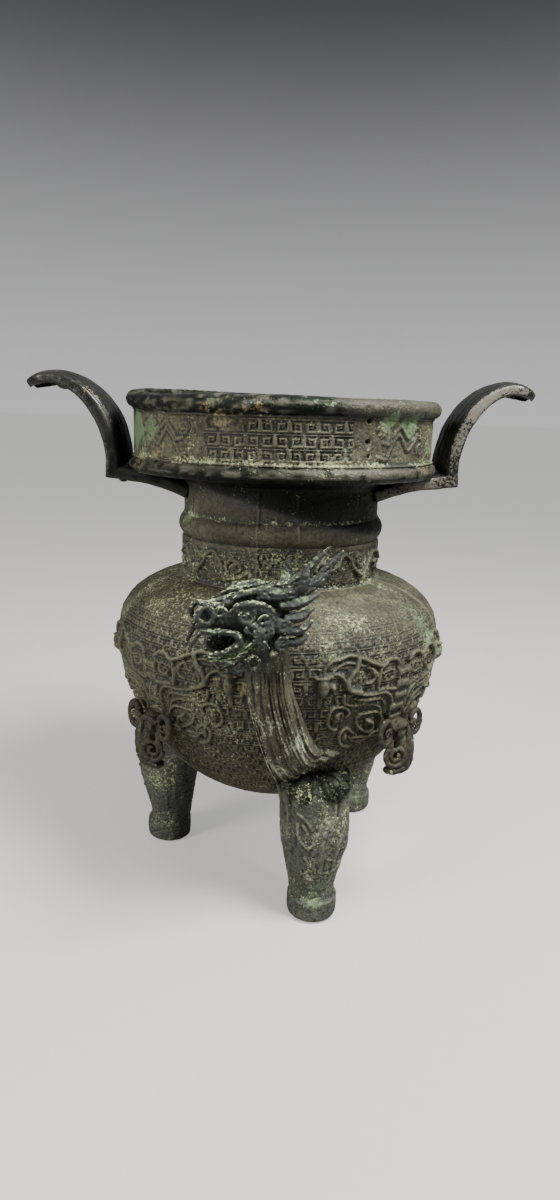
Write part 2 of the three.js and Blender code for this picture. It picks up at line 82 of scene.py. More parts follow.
class DingSizes(bpy.types.PropertyGroup):
    """Driving sizes of the casting."""

    belly_radius: FloatProperty(name="Belly radius", description="Belly at its widest line",
                                default=0.0867, unit="LENGTH")
    neck_radius: FloatProperty(name="Neck radius", description="Outside of the neck",
                               default=0.0515, unit="LENGTH")
    drum_radius: FloatProperty(name="Drum radius", description="Outside of the upright drum wall",
                               default=0.0772, unit="LENGTH")
    wall: FloatProperty(name="Wall", description="Thickness of the cast walls", default=0.004, unit="LENGTH")
    handle_width: FloatProperty(name="Handle width", description="Strap width at the corner",
                                default=0.042, unit="LENGTH")
    fret_depth: FloatProperty(name="Fret depth", description="Depth of the square spiral ground",
                              default=0.0008, unit="LENGTH")
    mask_height: FloatProperty(name="Mask height", description="How far the beast masks stand out",
                               default=0.0027, unit="LENGTH")
    corrosion: FloatProperty(name="Corrosion", description="Roughness of the pitted skin",
                             default=0.00018, unit="LENGTH")
    seed: IntProperty(name="Seed", description="Changes where pits and stains fall", default=7)


def colour_property(name, description, default):
    """A colour with a name, for the patina palette."""
    return FloatVectorProperty(name=name, description=description, default=default, size=3, subtype="COLOR",
                               min=0.0, max=1.0)


class DingColours(bpy.types.PropertyGroup):
    """The patina palette, as linear colours."""

    olive: colour_property("Olive bronze", "Brown skin of the vessel", (0.090, 0.088, 0.050))
    umber: colour_property("Umber bronze", "Darker areas of the skin", (0.040, 0.035, 0.020))
    # This pale colour also paints the highlights on the tops and crests of the dragon's and beasts' heads.
    dust: colour_property("Dust", "Pale lime dust in the recesses", (0.32, 0.36, 0.19))
    verdigris: colour_property("Verdigris", "Green corrosion", (0.115, 0.175, 0.085))
    ochre: colour_property("Ochre", "Yellow deposit and worn gilding", (0.24, 0.18, 0.085))
    # This near-black colour also paints the shade in hollows, under the flange, at the legs' tops and in the
    # dragon's mouth.
    soot_and_shade: colour_property("Soot", "Near-black green of handles and heads", (0.012, 0.014, 0.011))
    slate: colour_property("Slate green", "Blue-grey skin of the legs", (0.088, 0.096, 0.075))
    worn: colour_property("Worn metal", "Rubbed edges", (0.17, 0.165, 0.115))


class DingStage(bpy.types.PropertyGroup):
    """Floor, light and camera."""

    lens: FloatProperty(name="Lens", description="Focal length in millimetres", default=23.4)
    camera_distance: FloatProperty(name="Camera distance", description="From the axis, level",
                                   default=0.420, unit="LENGTH")
    camera_height: FloatProperty(name="Camera height", description="Above the floor",
                                 default=0.250, unit="LENGTH")
    pitch: FloatProperty(name="Pitch", description="How far the camera looks down",
                         default=np.radians(13.48), unit="ROTATION")
    roll: FloatProperty(name="Roll", description="How far the camera leans",
                        default=np.radians(1.6), unit="ROTATION")
    floor_colour: colour_property("Floor", "Pale floor", (0.37, 0.365, 0.355))


def sizes():
    return bpy.context.scene.ding_sizes


def colours():
    return bpy.context.scene.ding_colours


# ---------------------------------------------------------------- arrays: noise, lines and relief


def smoothstep(value, low, high):
    """0 below low, 1 above high, eased between."""
    t = np.clip((value - low) / (high - low), 0.0, 1.0)
    return t * t * (3 - 2 * t)


def value_noise(points, size, seed):
    """Smooth noise from -1 to 1: hashed values at the corners of a cubic lattice, eased between them."""
    cell = points / size
    base = np.floor(cell)
    part = cell - base
    part = part * part * (3 - 2 * part)
    base = base.astype(np.int64)
    total = np.zeros(points.shape[:-1])
    for corner in range(8):
        step = np.array([corner & 1, corner >> 1 & 1, corner >> 2 & 1])
        mixed = seed * SEED_PRIME
        for axis, prime in enumerate(AXIS_PRIMES):
            mixed = mixed ^ (base + step)[..., axis] * prime
        mixed = (mixed ^ (mixed >> 13)) * STIR_PRIME & 0x7FFFFFFF
        mixed = (mixed ^ (mixed >> 11)) & 0xFFFF
        weight = np.prod(np.where(step == 1, part, 1 - part), axis=-1)
        total += weight * (mixed / 32767.5 - 1)
    return total


def rough_noise(points, size, seed, octaves=3):
    """Value noise summed over octaves, each half as large and half as strong."""
    return sum(value_noise(points, size / 2**k, seed + k) / 2**k for k in range(octaves))


def smooth_line(points, steps=8):
    """A Catmull-Rom curve through the points: (steps per span) spots on the cubic of each four neighbours."""
    points = np.asarray(points, float)
    before = np.vstack([2 * points[0] - points[1], points[:-2], points[-2:-1]])[: len(points) - 1]
    after = np.vstack([points[2:], 2 * points[-1] - points[-2]])
    start, end = points[:-1], points[1:]
    t = (np.arange(steps) / steps)[None, :, None]
    a, b, c, d = (q[:, None, :] for q in (before, start, end, after))
    spots = 0.5 * (2 * b + (c - a) * t + (2 * a - 5 * b + 4 * c - d) * t**2 + (3 * b - a - 3 * c + d) * t**3)
    return np.vstack([spots.reshape(-1, points.shape[1]), points[-1:]])


def resample(line, count):
    """A line as count spots evenly spaced along its length."""
    lengths = np.r_[0, np.cumsum(np.linalg.norm(np.diff(line, axis=0), axis=1))]
    at = np.linspace(0, lengths[-1], count)
    return np.stack([np.interp(at, lengths, line[:, k]) for k in range(line.shape[1])], axis=1)


def line_distance(across, up, line, reach):
    """Distance from each grid place (across, up) to the polyline; far places get the reach."""
    distance = np.full(across.shape, float(reach))
    low, high = line.min(0) - reach, line.max(0) + reach
    near = (across > low[0]) & (across < high[0]) & (up > low[1]) & (up < high[1])
    if not near.any():
        return distance
    place = np.stack([across[near], up[near]], axis=-1)
    best = np.full(len(place), float(reach))
    for start, end in zip(line[:-1], line[1:]):
        span = end - start
        share = np.clip((place - start) @ span / max(span @ span, 1e-9), 0, 1)
        best = np.minimum(best, np.linalg.norm(place - start - share[:, None] * span, axis=1))
    distance[near] = best
    return distance


def ridge_height(distance, half_width, height):
    """A rounded ridge across a line: full height near the line, eased to nothing at its foot."""
    return height * (1 - smoothstep(distance, half_width * 0.35, half_width * 1.25))


def fret(rows, columns, cell):
    """Square spiral tiles, 1 on the raised lane and 0 in the groove: lanes are counted outwards from a
    tile's middle as the larger of the two offsets, shifted by half a lane at every quarter turn, and
    tiles mirror their neighbours."""
    up = rows % cell - cell / 2 + 0.5
    across = columns % cell - cell / 2 + 0.5
    across = across * np.where((rows // cell + columns // cell) % 2 < 1, 1, -1)
    lanes = np.maximum(np.abs(across), np.abs(up)) / 2
    quarter = np.where(np.abs(across) > np.abs(up), np.where(across > 0, 0, 2), np.where(up > 0, 1, 3))
    return 0.5 + 0.5 * np.clip(1.4 * np.cos(np.pi * (lanes - quarter / 2 - 0.5)), -1, 1)


# ---------------------------------------------------------------- arrays into meshes


def grid_faces(rows, columns, wrap_rows=False, wrap_columns=False):
    """Quads of a grid of vertices, row by row; a wrapped side joins its last line to its first."""
    index = np.arange(rows * columns).reshape(rows, columns)
    if wrap_columns:
        index = np.hstack([index, index[:, :1]])
    if wrap_rows:
        index = np.vstack([index, index[:1]])
    corners = index[:-1, :-1], index[:-1, 1:], index[1:, 1:], index[1:, :-1]
    return np.stack(corners, axis=-1).reshape(-1, 4)


def triangles_of(faces):
    """Every face list as triangles."""
    cut = [f if f.shape[1] == 3 else np.vstack([f[:, :3], f[:, [0, 2, 3]]]) for f in faces if len(f)]
    return np.vstack(cut)


def right_side_out(points, faces):
    """A closed shell with its faces turned outwards, told by the sign of its volume."""
    corner = points[triangles_of(faces)]
    volume = np.einsum("ij,ij->i", corner[:, 0], np.cross(corner[:, 1], corner[:, 2])).sum()
    return points, [f if volume > 0 else f[:, ::-1] for f in faces]


def closed_turn(points):
    """A ring shell from a grid that wraps both ways."""
    rows, columns = points.shape[:2]
    return right_side_out(points.reshape(-1, 3), [grid_faces(rows, columns, True, True)])


def closed_tube(points):
    """A shell from rings of points (rings, sides, 3), closed at both ends by a fan to the ring's middle."""
    rings, sides = points.shape[:2]
    flat = np.vstack([points.reshape(-1, 3), points[0].mean(0), points[-1].mean(0)])
    around = np.arange(sides)
    following = (around + 1) % sides
    first = np.stack([following, around, np.full(sides, rings * sides)], axis=1)
    last_ring = (rings - 1) * sides
    last = np.stack([last_ring + around, last_ring + following, np.full(sides, rings * sides + 1)], axis=1)
    quads = grid_faces(rings, sides, wrap_columns=True)
    return right_side_out(flat, [quads, np.vstack([first, last])])


def closed_sheet(outer, normals, wall, step):
    """A curved plate: the dense outer grid, a coarse inner grid of every step-th place moved in by the
    wall, and edge strips that fan from the dense edge to the coarse one."""
    rows, columns = outer.shape[:2]
    inner = outer[::step, ::step] - normals[::step, ::step] * wall
    inner_rows, inner_columns = inner.shape[:2]
    base = rows * columns

    def edge_loop(height, width):
        """The indices of a grid's places in order round its edge."""
        top, side = np.arange(width), np.arange(height)
        far_side = side[:-1] * width + width - 1
        bottom = (height - 1) * width + top[:0:-1]
        return np.r_[top[:-1], far_side, bottom, side[:0:-1] * width]

    coarse = edge_loop(inner_rows, inner_columns) + base
    dense = edge_loop(rows, columns).reshape(-1, step)
    dense = np.hstack([dense, np.roll(dense[:, 0], -1)[:, None]])
    following = np.roll(coarse, -1)
    strips = []
    for k in range(step):
        to = coarse if k < step / 2 else following
        strips.append(np.stack([dense[:, k + 1], dense[:, k], to], axis=1))
    strips.append(np.stack([dense[:, -(-step // 2)], coarse, following], axis=1))
    faces = [grid_faces(rows, columns), grid_faces(inner_rows, inner_columns)[:, ::-1] + base]
    points = np.vstack([outer.reshape(-1, 3), inner.reshape(-1, 3)])
    return right_side_out(points, [*faces, np.vstack(strips)])


def merged(shells):
    """Several shells as one list of points and faces."""
    points, faces, start = [], [], 0
    for shell_points, shell_faces in shells:
        points.append(shell_points)
        faces += [f + start for f in shell_faces]
        start += len(shell_points)
    return np.vstack(points), faces


def fill_mesh(mesh, points, faces):
    """Vertices in metres in the frame, and faces, written as whole arrays."""
    mesh.vertices.add(len(points))
    mesh.vertices.foreach_set("co", ((points + AXIS) * MM).astype(np.float32).ravel())
    loops = np.concatenate([f.ravel() for f in faces])
    counts = np.concatenate([np.full(len(f), f.shape[1]) for f in faces])
    mesh.loops.add(len(loops))
    mesh.loops.foreach_set("vertex_index", loops.astype(np.int32))
    mesh.polygons.add(len(counts))
    mesh.polygons.foreach_set("loop_start", np.r_[0, np.cumsum(counts)[:-1]].astype(np.int32))
    mesh.update(calc_edges=True)
    mesh.validate()
    mesh.polygons.foreach_set("use_smooth", np.ones(len(mesh.polygons), bool))
    mesh.update()


def mesh_places(mesh):
    """A mesh's vertex places about the vessel's axis, in millimetres."""
    co = np.empty(len(mesh.vertices) * 3, np.float32)
    mesh.vertices.foreach_get("co", co)
    return co.reshape(-1, 3).astype(float) / MM - AXIS


def write_mask(mesh, name, values):
    """A value from 0 to 1 on every vertex, for the materials."""
    attribute = mesh.attributes.get(name) or mesh.attributes.new(name, "FLOAT", "POINT")
    attribute.data.foreach_set("value", np.clip(values, 0, 1).astype(np.float32))


def mesh_normals(mesh):
    normals = np.empty(len(mesh.vertices) * 3, np.float32)
    mesh.vertices.foreach_get("normal", normals)
    return normals.reshape(-1, 3).astype(float)


def set_places(mesh, places):
    """Vertex places about the vessel's axis, in millimetres."""
    mesh.vertices.foreach_set("co", ((places + AXIS) * MM).astype(np.float32).ravel())
    mesh.update()


def edge_pairs(mesh):
    edges = np.empty(len(mesh.edges) * 2, np.int32)
    mesh.edges.foreach_get("vertices", edges)
    return edges.reshape(-1, 2).T


def eased(places, pairs, rounds):
    """Places after rounds of moving half way to the mean of their neighbours."""
    first, second = pairs
    ends = np.r_[first, second]
    count = len(places)
    share = np.maximum(np.bincount(ends, minlength=count), 1)[:, None]
    for _ in range(rounds):
        pulled = np.concatenate([places[second], places[first]])
        sums = [np.bincount(ends, pulled[:, k], count) for k in range(3)]
        places = 0.5 * places + 0.5 * np.stack(sums, axis=1) / share
    return places


def skin_of(mesh, rounds, depth):
    """The mesh's vertices, their normals, and how proud they stand: each vertex against its place after
    rounds of easing, measured along its normal, as a share of the depth in millimetres."""
    places = mesh_places(mesh)
    normals = mesh_normals(mesh)
    rise = np.einsum("ij,ij->i", places - eased(places, edge_pairs(mesh), rounds), normals) / depth
    return Skin(places, normals, rise)


def make_piece(name, shells, material, slot, replaced, stains, hollow_rounds=10, hollow_depth=0.35):
    """One finished piece at the origin: its mesh from shells, then what finish_piece gives it."""
    old = bpy.data.objects.get(name)
    if old:
        bpy.data.objects.remove(old)
    mesh = bpy.data.meshes.new(name)
    fill_mesh(mesh, *merged(shells))
    piece = bpy.data.objects.new(name, mesh)
    bpy.context.scene.collection.objects.link(piece)
    return finish_piece(piece, material, slot, replaced, stains, hollow_rounds, hollow_depth)


def finish_piece(piece, material, slot, replaced, stains, hollow_rounds=10, hollow_depth=0.35):
    """Masks, material and the body it rides on, once a piece's mesh is final; the solid parts it stands in
    for are hidden.
    """
    mesh = piece.data
    skin = skin_of(mesh, hollow_rounds, hollow_depth)
    write_mask(mesh, "hollow", -skin.rise)
    write_mask(mesh, "crest", skin.rise)
    for stain in STAINS:
        values = stains[stain](skin) if stain in stains else np.zeros(len(skin.rise))
        write_mask(mesh, stain, values)
    mesh.materials.clear()
    mesh.materials.append(material)
    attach(piece, "root")
    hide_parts(*replaced)
    return piece


def turned_from(azimuth, centre):
    """Degrees from a centre azimuth, between -180 and 180."""
    return (azimuth - centre + 180) % 360 - 180


def spots(*patches):
    """A stain made of round patches (azimuth, z, radius, strength), with ragged edges."""
    def mask(skin):
        places = skin.places
        azimuth = np.degrees(np.arctan2(places[:, 0], -places[:, 1]))
        radius = np.hypot(places[:, 0], places[:, 1])
        ragged = rough_noise(places, 5.0, 31)
        total = np.zeros(len(places))
        for turn, height, size, strength in patches:
            along = np.radians(turned_from(azimuth, turn)) * radius
            away = np.hypot(along, places[:, 2] - height)
            total = np.maximum(total, strength * (1 - smoothstep(away / size + 0.35 * ragged, 0.55, 1.15)))
        return total
    return mask


# ---------------------------------------------------------------- materials


def node(tree, kind, inputs=None, **settings):
    """A shader node with its settings; inputs maps a socket to a value or to another node's output."""
    made = tree.nodes.new(kind)
    for name, value in settings.items():
        setattr(made, name, value)
    for socket, value in (inputs or {}).items():
        if isinstance(value, bpy.types.NodeSocket):
            tree.links.new(value, made.inputs[socket])
        else:
            made.inputs[socket].default_value = value
    return made


def math_node(tree, operation, first, second=0.0):
    return node(tree, "ShaderNodeMath", {0: first, 1: second}, operation=operation).outputs[0]


def multiply_add(tree, value, factor, added):
    """The value times a factor, plus another value."""
    return node(tree, "ShaderNodeMath", {0: value, 1: factor, 2: added}, operation="MULTIPLY_ADD").outputs[0]


def ramp(tree, value, low, high, to_low=0.0, to_high=1.0):
    """The value mapped from one range to another with eased ends."""
    settings = {"Value": value, 1: low, 2: high, 3: to_low, 4: to_high}
    return node(tree, "ShaderNodeMapRange", settings, interpolation_type="SMOOTHSTEP").outputs[0]


def noise(tree, place, size, detail=5.0, roughness=0.6, distortion=0.0):
    """Noise whose grains are about size metres across."""
    settings = {"Vector": place, "Scale": 1 / size, "Detail": detail, "Roughness": roughness,
                "Distortion": distortion}
    return node(tree, "ShaderNodeTexNoise", settings).outputs[0]


def mix_colour(tree, mask, first, second, blend="MIX"):
    made = node(tree, "ShaderNodeMix", data_type="RGBA", blend_type=blend)
    for socket, value in ((0, mask), (6, first), (7, second)):
        if isinstance(value, bpy.types.NodeSocket):
            tree.links.new(value, made.inputs[socket])
        else:
            made.inputs[socket].default_value = value if socket == 0 else (*value[:3], 1.0)
    return made.outputs[2]


def new_group(name, inputs, outputs):
    """An empty shader node group with named sockets."""
    tree = bpy.data.node_groups.new(name, "ShaderNodeTree")
    for socket, kind, default in inputs:
        made = tree.interface.new_socket(socket, in_out="INPUT", socket_type=kind)
        if default is not None:
            made.default_value = default
    for socket, kind in outputs:
        tree.interface.new_socket(socket, in_out="OUTPUT", socket_type=kind)
    return tree, tree.nodes.new("NodeGroupInput").outputs, tree.nodes.new("NodeGroupOutput").inputs


def mottled_skin_group():
    """Two colours mixed by broad clouds and fine grains."""
    tree, given, result = new_group(
        "Mottled skin",
        [("Vector", "NodeSocketVector", None), ("First", "NodeSocketColor", None),
         ("Second", "NodeSocketColor", None), ("Shade", "NodeSocketFloat", 0.6)],
        [("Colour", "NodeSocketColor")])
    broad = ramp(tree, noise(tree, given["Vector"], 0.022, 4.0, 0.6, 0.4), 0.36, 0.64)
    mixed = mix_colour(tree, broad, given["First"], given["Second"])
    grain = ramp(tree, noise(tree, given["Vector"], 0.0016, 4.0, 0.75), 0.40, 0.62)
    grain = math_node(tree, "MULTIPLY", grain, given["Shade"])
    dark = mix_colour(tree, 0.72, mixed, (0.0, 0.0, 0.0))
    tree.links.new(mix_colour(tree, grain, mixed, dark), result["Colour"])
    return tree


def dust_group():
    """Where dust or corrosion sits: in hollows, on marked places, and in speckles between."""
    tree, given, result = new_group(
        "Settled dust",
        [("Vector", "NodeSocketVector", None), ("Hollow", "NodeSocketFloat", 0.0),
         ("Marked", "NodeSocketFloat", 0.0), ("Amount", "NodeSocketFloat", 0.5),
         ("Grain", "NodeSocketFloat", 0.002)],
        [("Mask", "NodeSocketFloat")])
    scale = math_node(tree, "DIVIDE", 1.0, given["Grain"])
    fine = node(tree, "ShaderNodeTexNoise",
                {"Vector": given["Vector"], "Scale": scale, "Detail": 6.0, "Roughness": 0.72})
    speckle = multiply_add(tree, fine.outputs[0], 2.2, -1.1)
    cloud = multiply_add(tree, noise(tree, given["Vector"], 0.016, 3.0, 0.6), 0.9, -0.45)
    held = multiply_add(tree, given["Hollow"], given["Amount"], given["Marked"])
    total = math_node(tree, "ADD", math_node(tree, "ADD", speckle, cloud), held)
    tree.links.new(ramp(tree, total, 0.22, 0.46), result["Mask"])
    return tree


def cast_grain_group():
    """Height of a cast and corroded skin: fine grains with round pits."""
    tree, given, result = new_group(
        "Cast grain", [("Vector", "NodeSocketVector", None), ("Pits", "NodeSocketFloat", 0.5)],
        [("Height", "NodeSocketFloat")])
    grain = noise(tree, given["Vector"], 0.0011, 6.0, 0.7)
    cells = node(tree, "ShaderNodeTexVoronoi", {"Vector": given["Vector"], "Scale": 520.0, "Randomness": 1.0})
    pit = ramp(tree, cells.outputs["Distance"], 0.05, 0.42)
    pit = math_node(tree, "MULTIPLY", pit, given["Pits"])
    tree.links.new(math_node(tree, "ADD", grain, pit), result["Height"])
    return tree


def shader_group(name, maker):
    """The named node group, built once."""
    return bpy.data.node_groups.get(name) or maker()


def use_group(tree, group, **inputs):
    return node(tree, "ShaderNodeGroup", inputs, node_tree=group).outputs[0]


HOLLOW_SHADE_COVER = 0.90      # how far painted shade darkens the deepest hollows, in the soot colour
GREEN_COVER = 0.72
OCHRE_COVER = 0.62
DUST_AND_HIGHLIGHT_COVER = 0.80
CRUST_GRAIN = 0.0022    # metres across a grain of verdigris or ochre


def bronze(name, first, second, dust=0.10, speckle=-0.05, grain=0.0013, rub=0.38, sheen=0.5, bump=0.85,
           dust_colour=None):
    """A bronze skin: mottled metal, painted shade in the hollows, soot with painted shade, verdigris, ochre,
    and dust with painted highlights laid over it in that order, and rubbed crests on top. dust is how
    strongly hollows hold it, speckle how much lies loose."""
    found = bpy.data.materials.get(name)
    if found:
        return found
    palette = colours()
    material = bpy.data.materials.new(name)
    material.use_nodes = True
    tree = material.node_tree
    tree.nodes.clear()
    place = node(tree, "ShaderNodeTexCoord").outputs["Object"]
    value = {told: node(tree, "ShaderNodeAttribute",
                        attribute_name=told).outputs["Fac"] for told in SKIN_VALUES}
    dust_tree = shader_group("Settled dust", dust_group)

    def laid(marked, hollow, amount, size):
        """How thickly a deposit lies: on marked places and, by the amount, in hollows."""
        return use_group(tree, dust_tree, Vector=place, Hollow=hollow, Marked=marked, Amount=amount,
                         Grain=size)

    def coated(skin, cover, colour, strength=1.0):
        """The skin under a deposit or a painted shade of one colour."""
        return mix_colour(tree, math_node(tree, "MULTIPLY", cover, strength), skin, colour)

    mottled = shader_group("Mottled skin", mottled_skin_group)
    skin = use_group(tree, mottled, Vector=place, First=(*first, 1.0), Second=(*second, 1.0), Shade=0.85)
    # Painted shade: the deepest hollows are darkened towards the soot colour, standing in for ambient shade.
    skin = coated(skin, ramp(tree, value["hollow"], 0.04, 0.5), palette.soot_and_shade, HOLLOW_SHADE_COVER)
    # Soot and painted shade: real dark patches, and also shade painted under the flange, at the legs' tops,
    # in hollows and in the mouth.
    skin = coated(skin, value["soot_and_shade"], palette.soot_and_shade)
    green = laid(math_node(tree, "SUBTRACT", value["green"], 0.35), value["hollow"], 0.2, CRUST_GRAIN)
    skin = coated(skin, green, palette.verdigris, GREEN_COVER)
    ochre = laid(math_node(tree, "SUBTRACT", value["ochre"], 0.42), 0.0, 0.0, CRUST_GRAIN)
    skin = coated(skin, ochre, palette.ochre, OCHRE_COVER)
    # Dust and painted highlight: pale dust in hollows and loose speckles, and on the heads' tops and crests a
    # painted highlight.
    dust_and_highlight_cover = laid(math_node(tree, "ADD", value["dust_and_highlight"], speckle), value["hollow"], dust, grain)
    skin = coated(skin, dust_and_highlight_cover, dust_colour or palette.dust, DUST_AND_HIGHLIGHT_COVER)
    bare_of_dust_and_highlight = math_node(tree, "SUBTRACT", 1.0, dust_and_highlight_cover)
    free_of_soot_and_shade = math_node(tree, "SUBTRACT", 1.0, value["soot_and_shade"])
    rubbed = math_node(tree, "MULTIPLY", ramp(tree, value["crest"], 0.35, 1.1), rub)
    rubbed = math_node(tree, "MULTIPLY", rubbed, math_node(tree, "MULTIPLY", free_of_soot_and_shade, bare_of_dust_and_highlight))
    skin = mix_colour(tree, rubbed, skin, palette.worn)

    cloud = noise(tree, place, 0.009, 4.0, 0.6)
    roughness = ramp(tree, cloud, 0.3, 0.7, 0.80 - 0.42 * sheen, 0.92 - 0.30 * sheen)
    roughness = multiply_add(tree, value["soot_and_shade"], -0.24, roughness)
    roughness = multiply_add(tree, dust_and_highlight_cover, 0.3, roughness)
    metal = multiply_add(tree, rubbed, 0.5, 0.25 + 0.2 * sheen)
    metal = math_node(tree, "MAXIMUM", metal, ramp(tree, value["soot_and_shade"], 0.55, 0.95, 0.0, 0.97))
    height = use_group(tree, shader_group("Cast grain", cast_grain_group), Vector=place, Pits=0.5)
    relief = node(tree, "ShaderNodeBump", {"Strength": bump, "Distance": 0.0005, "Height": height})
    shader = node(tree, "ShaderNodeBsdfPrincipled", {
        "Base Color": skin,
        "Roughness": math_node(tree, "MINIMUM", roughness, 1.0),
        "Metallic": math_node(tree, "MULTIPLY", metal, bare_of_dust_and_highlight),
        "Normal": relief.outputs[0],
    })
    output = node(tree, "ShaderNodeOutputMaterial")
    tree.links.new(shader.outputs[0], output.inputs["Surface"])
    return material


def shaded(colour, factor):
    """A colour made lighter or darker."""
    return [factor * channel for channel in colour]


def body_bronze():
    palette = colours()
    return bronze("Olive cast bronze", palette.olive, palette.umber)


def handle_bronze():
    palette = colours()
    return bronze("Black-green bronze", palette.soot_and_shade, shaded(palette.soot_and_shade, 0.5), dust=0.1, speckle=-0.34,
                  grain=0.0012, rub=0.08, sheen=1.25, bump=0.2, dust_colour=(0.105, 0.095, 0.072))


def leg_bronze():
    palette = colours()
    return bronze("Slate green bronze", palette.slate, shaded(palette.slate, 0.62), dust=0.2, speckle=-0.06,
                  grain=0.0012, rub=0.7, sheen=0.4)


def streaked_bronze():
    palette = colours()
    return bronze("Grey-streaked bronze", palette.olive, palette.umber, dust_colour=(0.30, 0.33, 0.235))


def beast_bronze():
    palette = colours()
    return bronze("Brown-black bronze", palette.umber, shaded(palette.soot_and_shade, 1.2), dust=0.0, speckle=-0.03,
                  grain=0.0011, rub=0.7, bump=0.8)


def ornament_bronze():
    palette = colours()
    return bronze("Deep green bronze", shaded(palette.soot_and_shade, 2.8), palette.soot_and_shade, dust=0.0, speckle=-0.04,
                  grain=0.0011, rub=0.8, sheen=0.45, bump=0.5)


# ---------------------------------------------------------------- the vessel's turned form

BELLY_WIDEST_Z = 133.4
BELLY_BOTTOM_Z = 44.7
SHOULDER_Z = 166.4
FLANGE_LOW_Z = 219.2
FLANGE_HIGH_Z = 227.2
LIP_Z = 257.2
LIP_RADIUS = 81.0
INSIDE_RADIUS = 73.0
FLOOR_Z = 224.6
RIM_LIFT = 4.4
RIM_TURN = 0.55
LANE = 0.583            # spacing of the carving grid: two places to a lane of the fret


def belly_radius(z):
    """Outer radius of the belly at height z: a superellipse below the widest line and one above it."""
    widest, neck = sizes().belly_radius / MM, sizes().neck_radius / MM
    rise = np.clip((z - BELLY_WIDEST_Z) / (SHOULDER_Z - BELLY_WIDEST_Z), 0, 1)
    drop = np.clip((BELLY_WIDEST_Z - z) / (BELLY_WIDEST_Z - BELLY_BOTTOM_Z), 0, 1)
    above = neck + (widest - neck) * np.cos(np.arcsin(rise ** (1 / 0.7))) ** 1.4
    below = widest * np.cos(np.arcsin(drop ** (1 / 1.2))) ** 0.8
    return np.where(z > BELLY_WIDEST_Z, above, below)


def profile_normals(profile):
    """Outward unit normals of a profile of (radius, z) that runs downwards on the outside."""
    along = np.gradient(profile, axis=0)
    along /= np.maximum(np.linalg.norm(along, axis=1, keepdims=True), 1e-9)
    return np.stack([-along[:, 1], along[:, 0]], axis=1)


def turn(profile, normals, azimuths, relief):
    """A grid turned about the axis: each profile place moved along its normal by the relief, at each
    azimuth in degrees from the front."""
    radius = profile[:, :1] + normals[:, :1] * relief
    height = profile[:, 1:] + normals[:, 1:] * relief
    angle = np.radians(azimuths)[None, :]
    points = np.stack([radius * np.sin(angle), -radius * np.cos(angle), height + 0 * angle], axis=-1)
    lift = smoothstep(points[..., 2], FLANGE_HIGH_Z, LIP_Z - 8)
    towards = points[..., 1] * np.cos(RIM_TURN) - points[..., 0] * np.sin(RIM_TURN)
    points[..., 2] += RIM_LIFT * lift * smoothstep(towards, -23.2, 77.2)
    return points


def turned_normals(normals, azimuths):
    """A profile's normals turned about the axis."""
    angle = np.radians(azimuths)[None, :]
    out, up = normals[:, :1], normals[:, 1:]
    return np.stack([out * np.sin(angle), -out * np.cos(angle), up + 0 * angle], axis=-1)


def skin_roughness(points, seed_step=0):
    """Dents, grains and corrosion pits of the cast skin, in millimetres."""
    seed = sizes().seed + seed_step
    depth = sizes().corrosion / MM
    dents = 0.35 * value_noise(points, 26.0, seed)
    grains = depth * rough_noise(points, 2.2, seed + 3, 2)
    pits = -2.6 * depth * smoothstep(value_noise(points, 1.9, seed + 9), 0.55, 0.85)
    return dents + grains + pits


# ---------------------------------------------------------------- relief of the belly

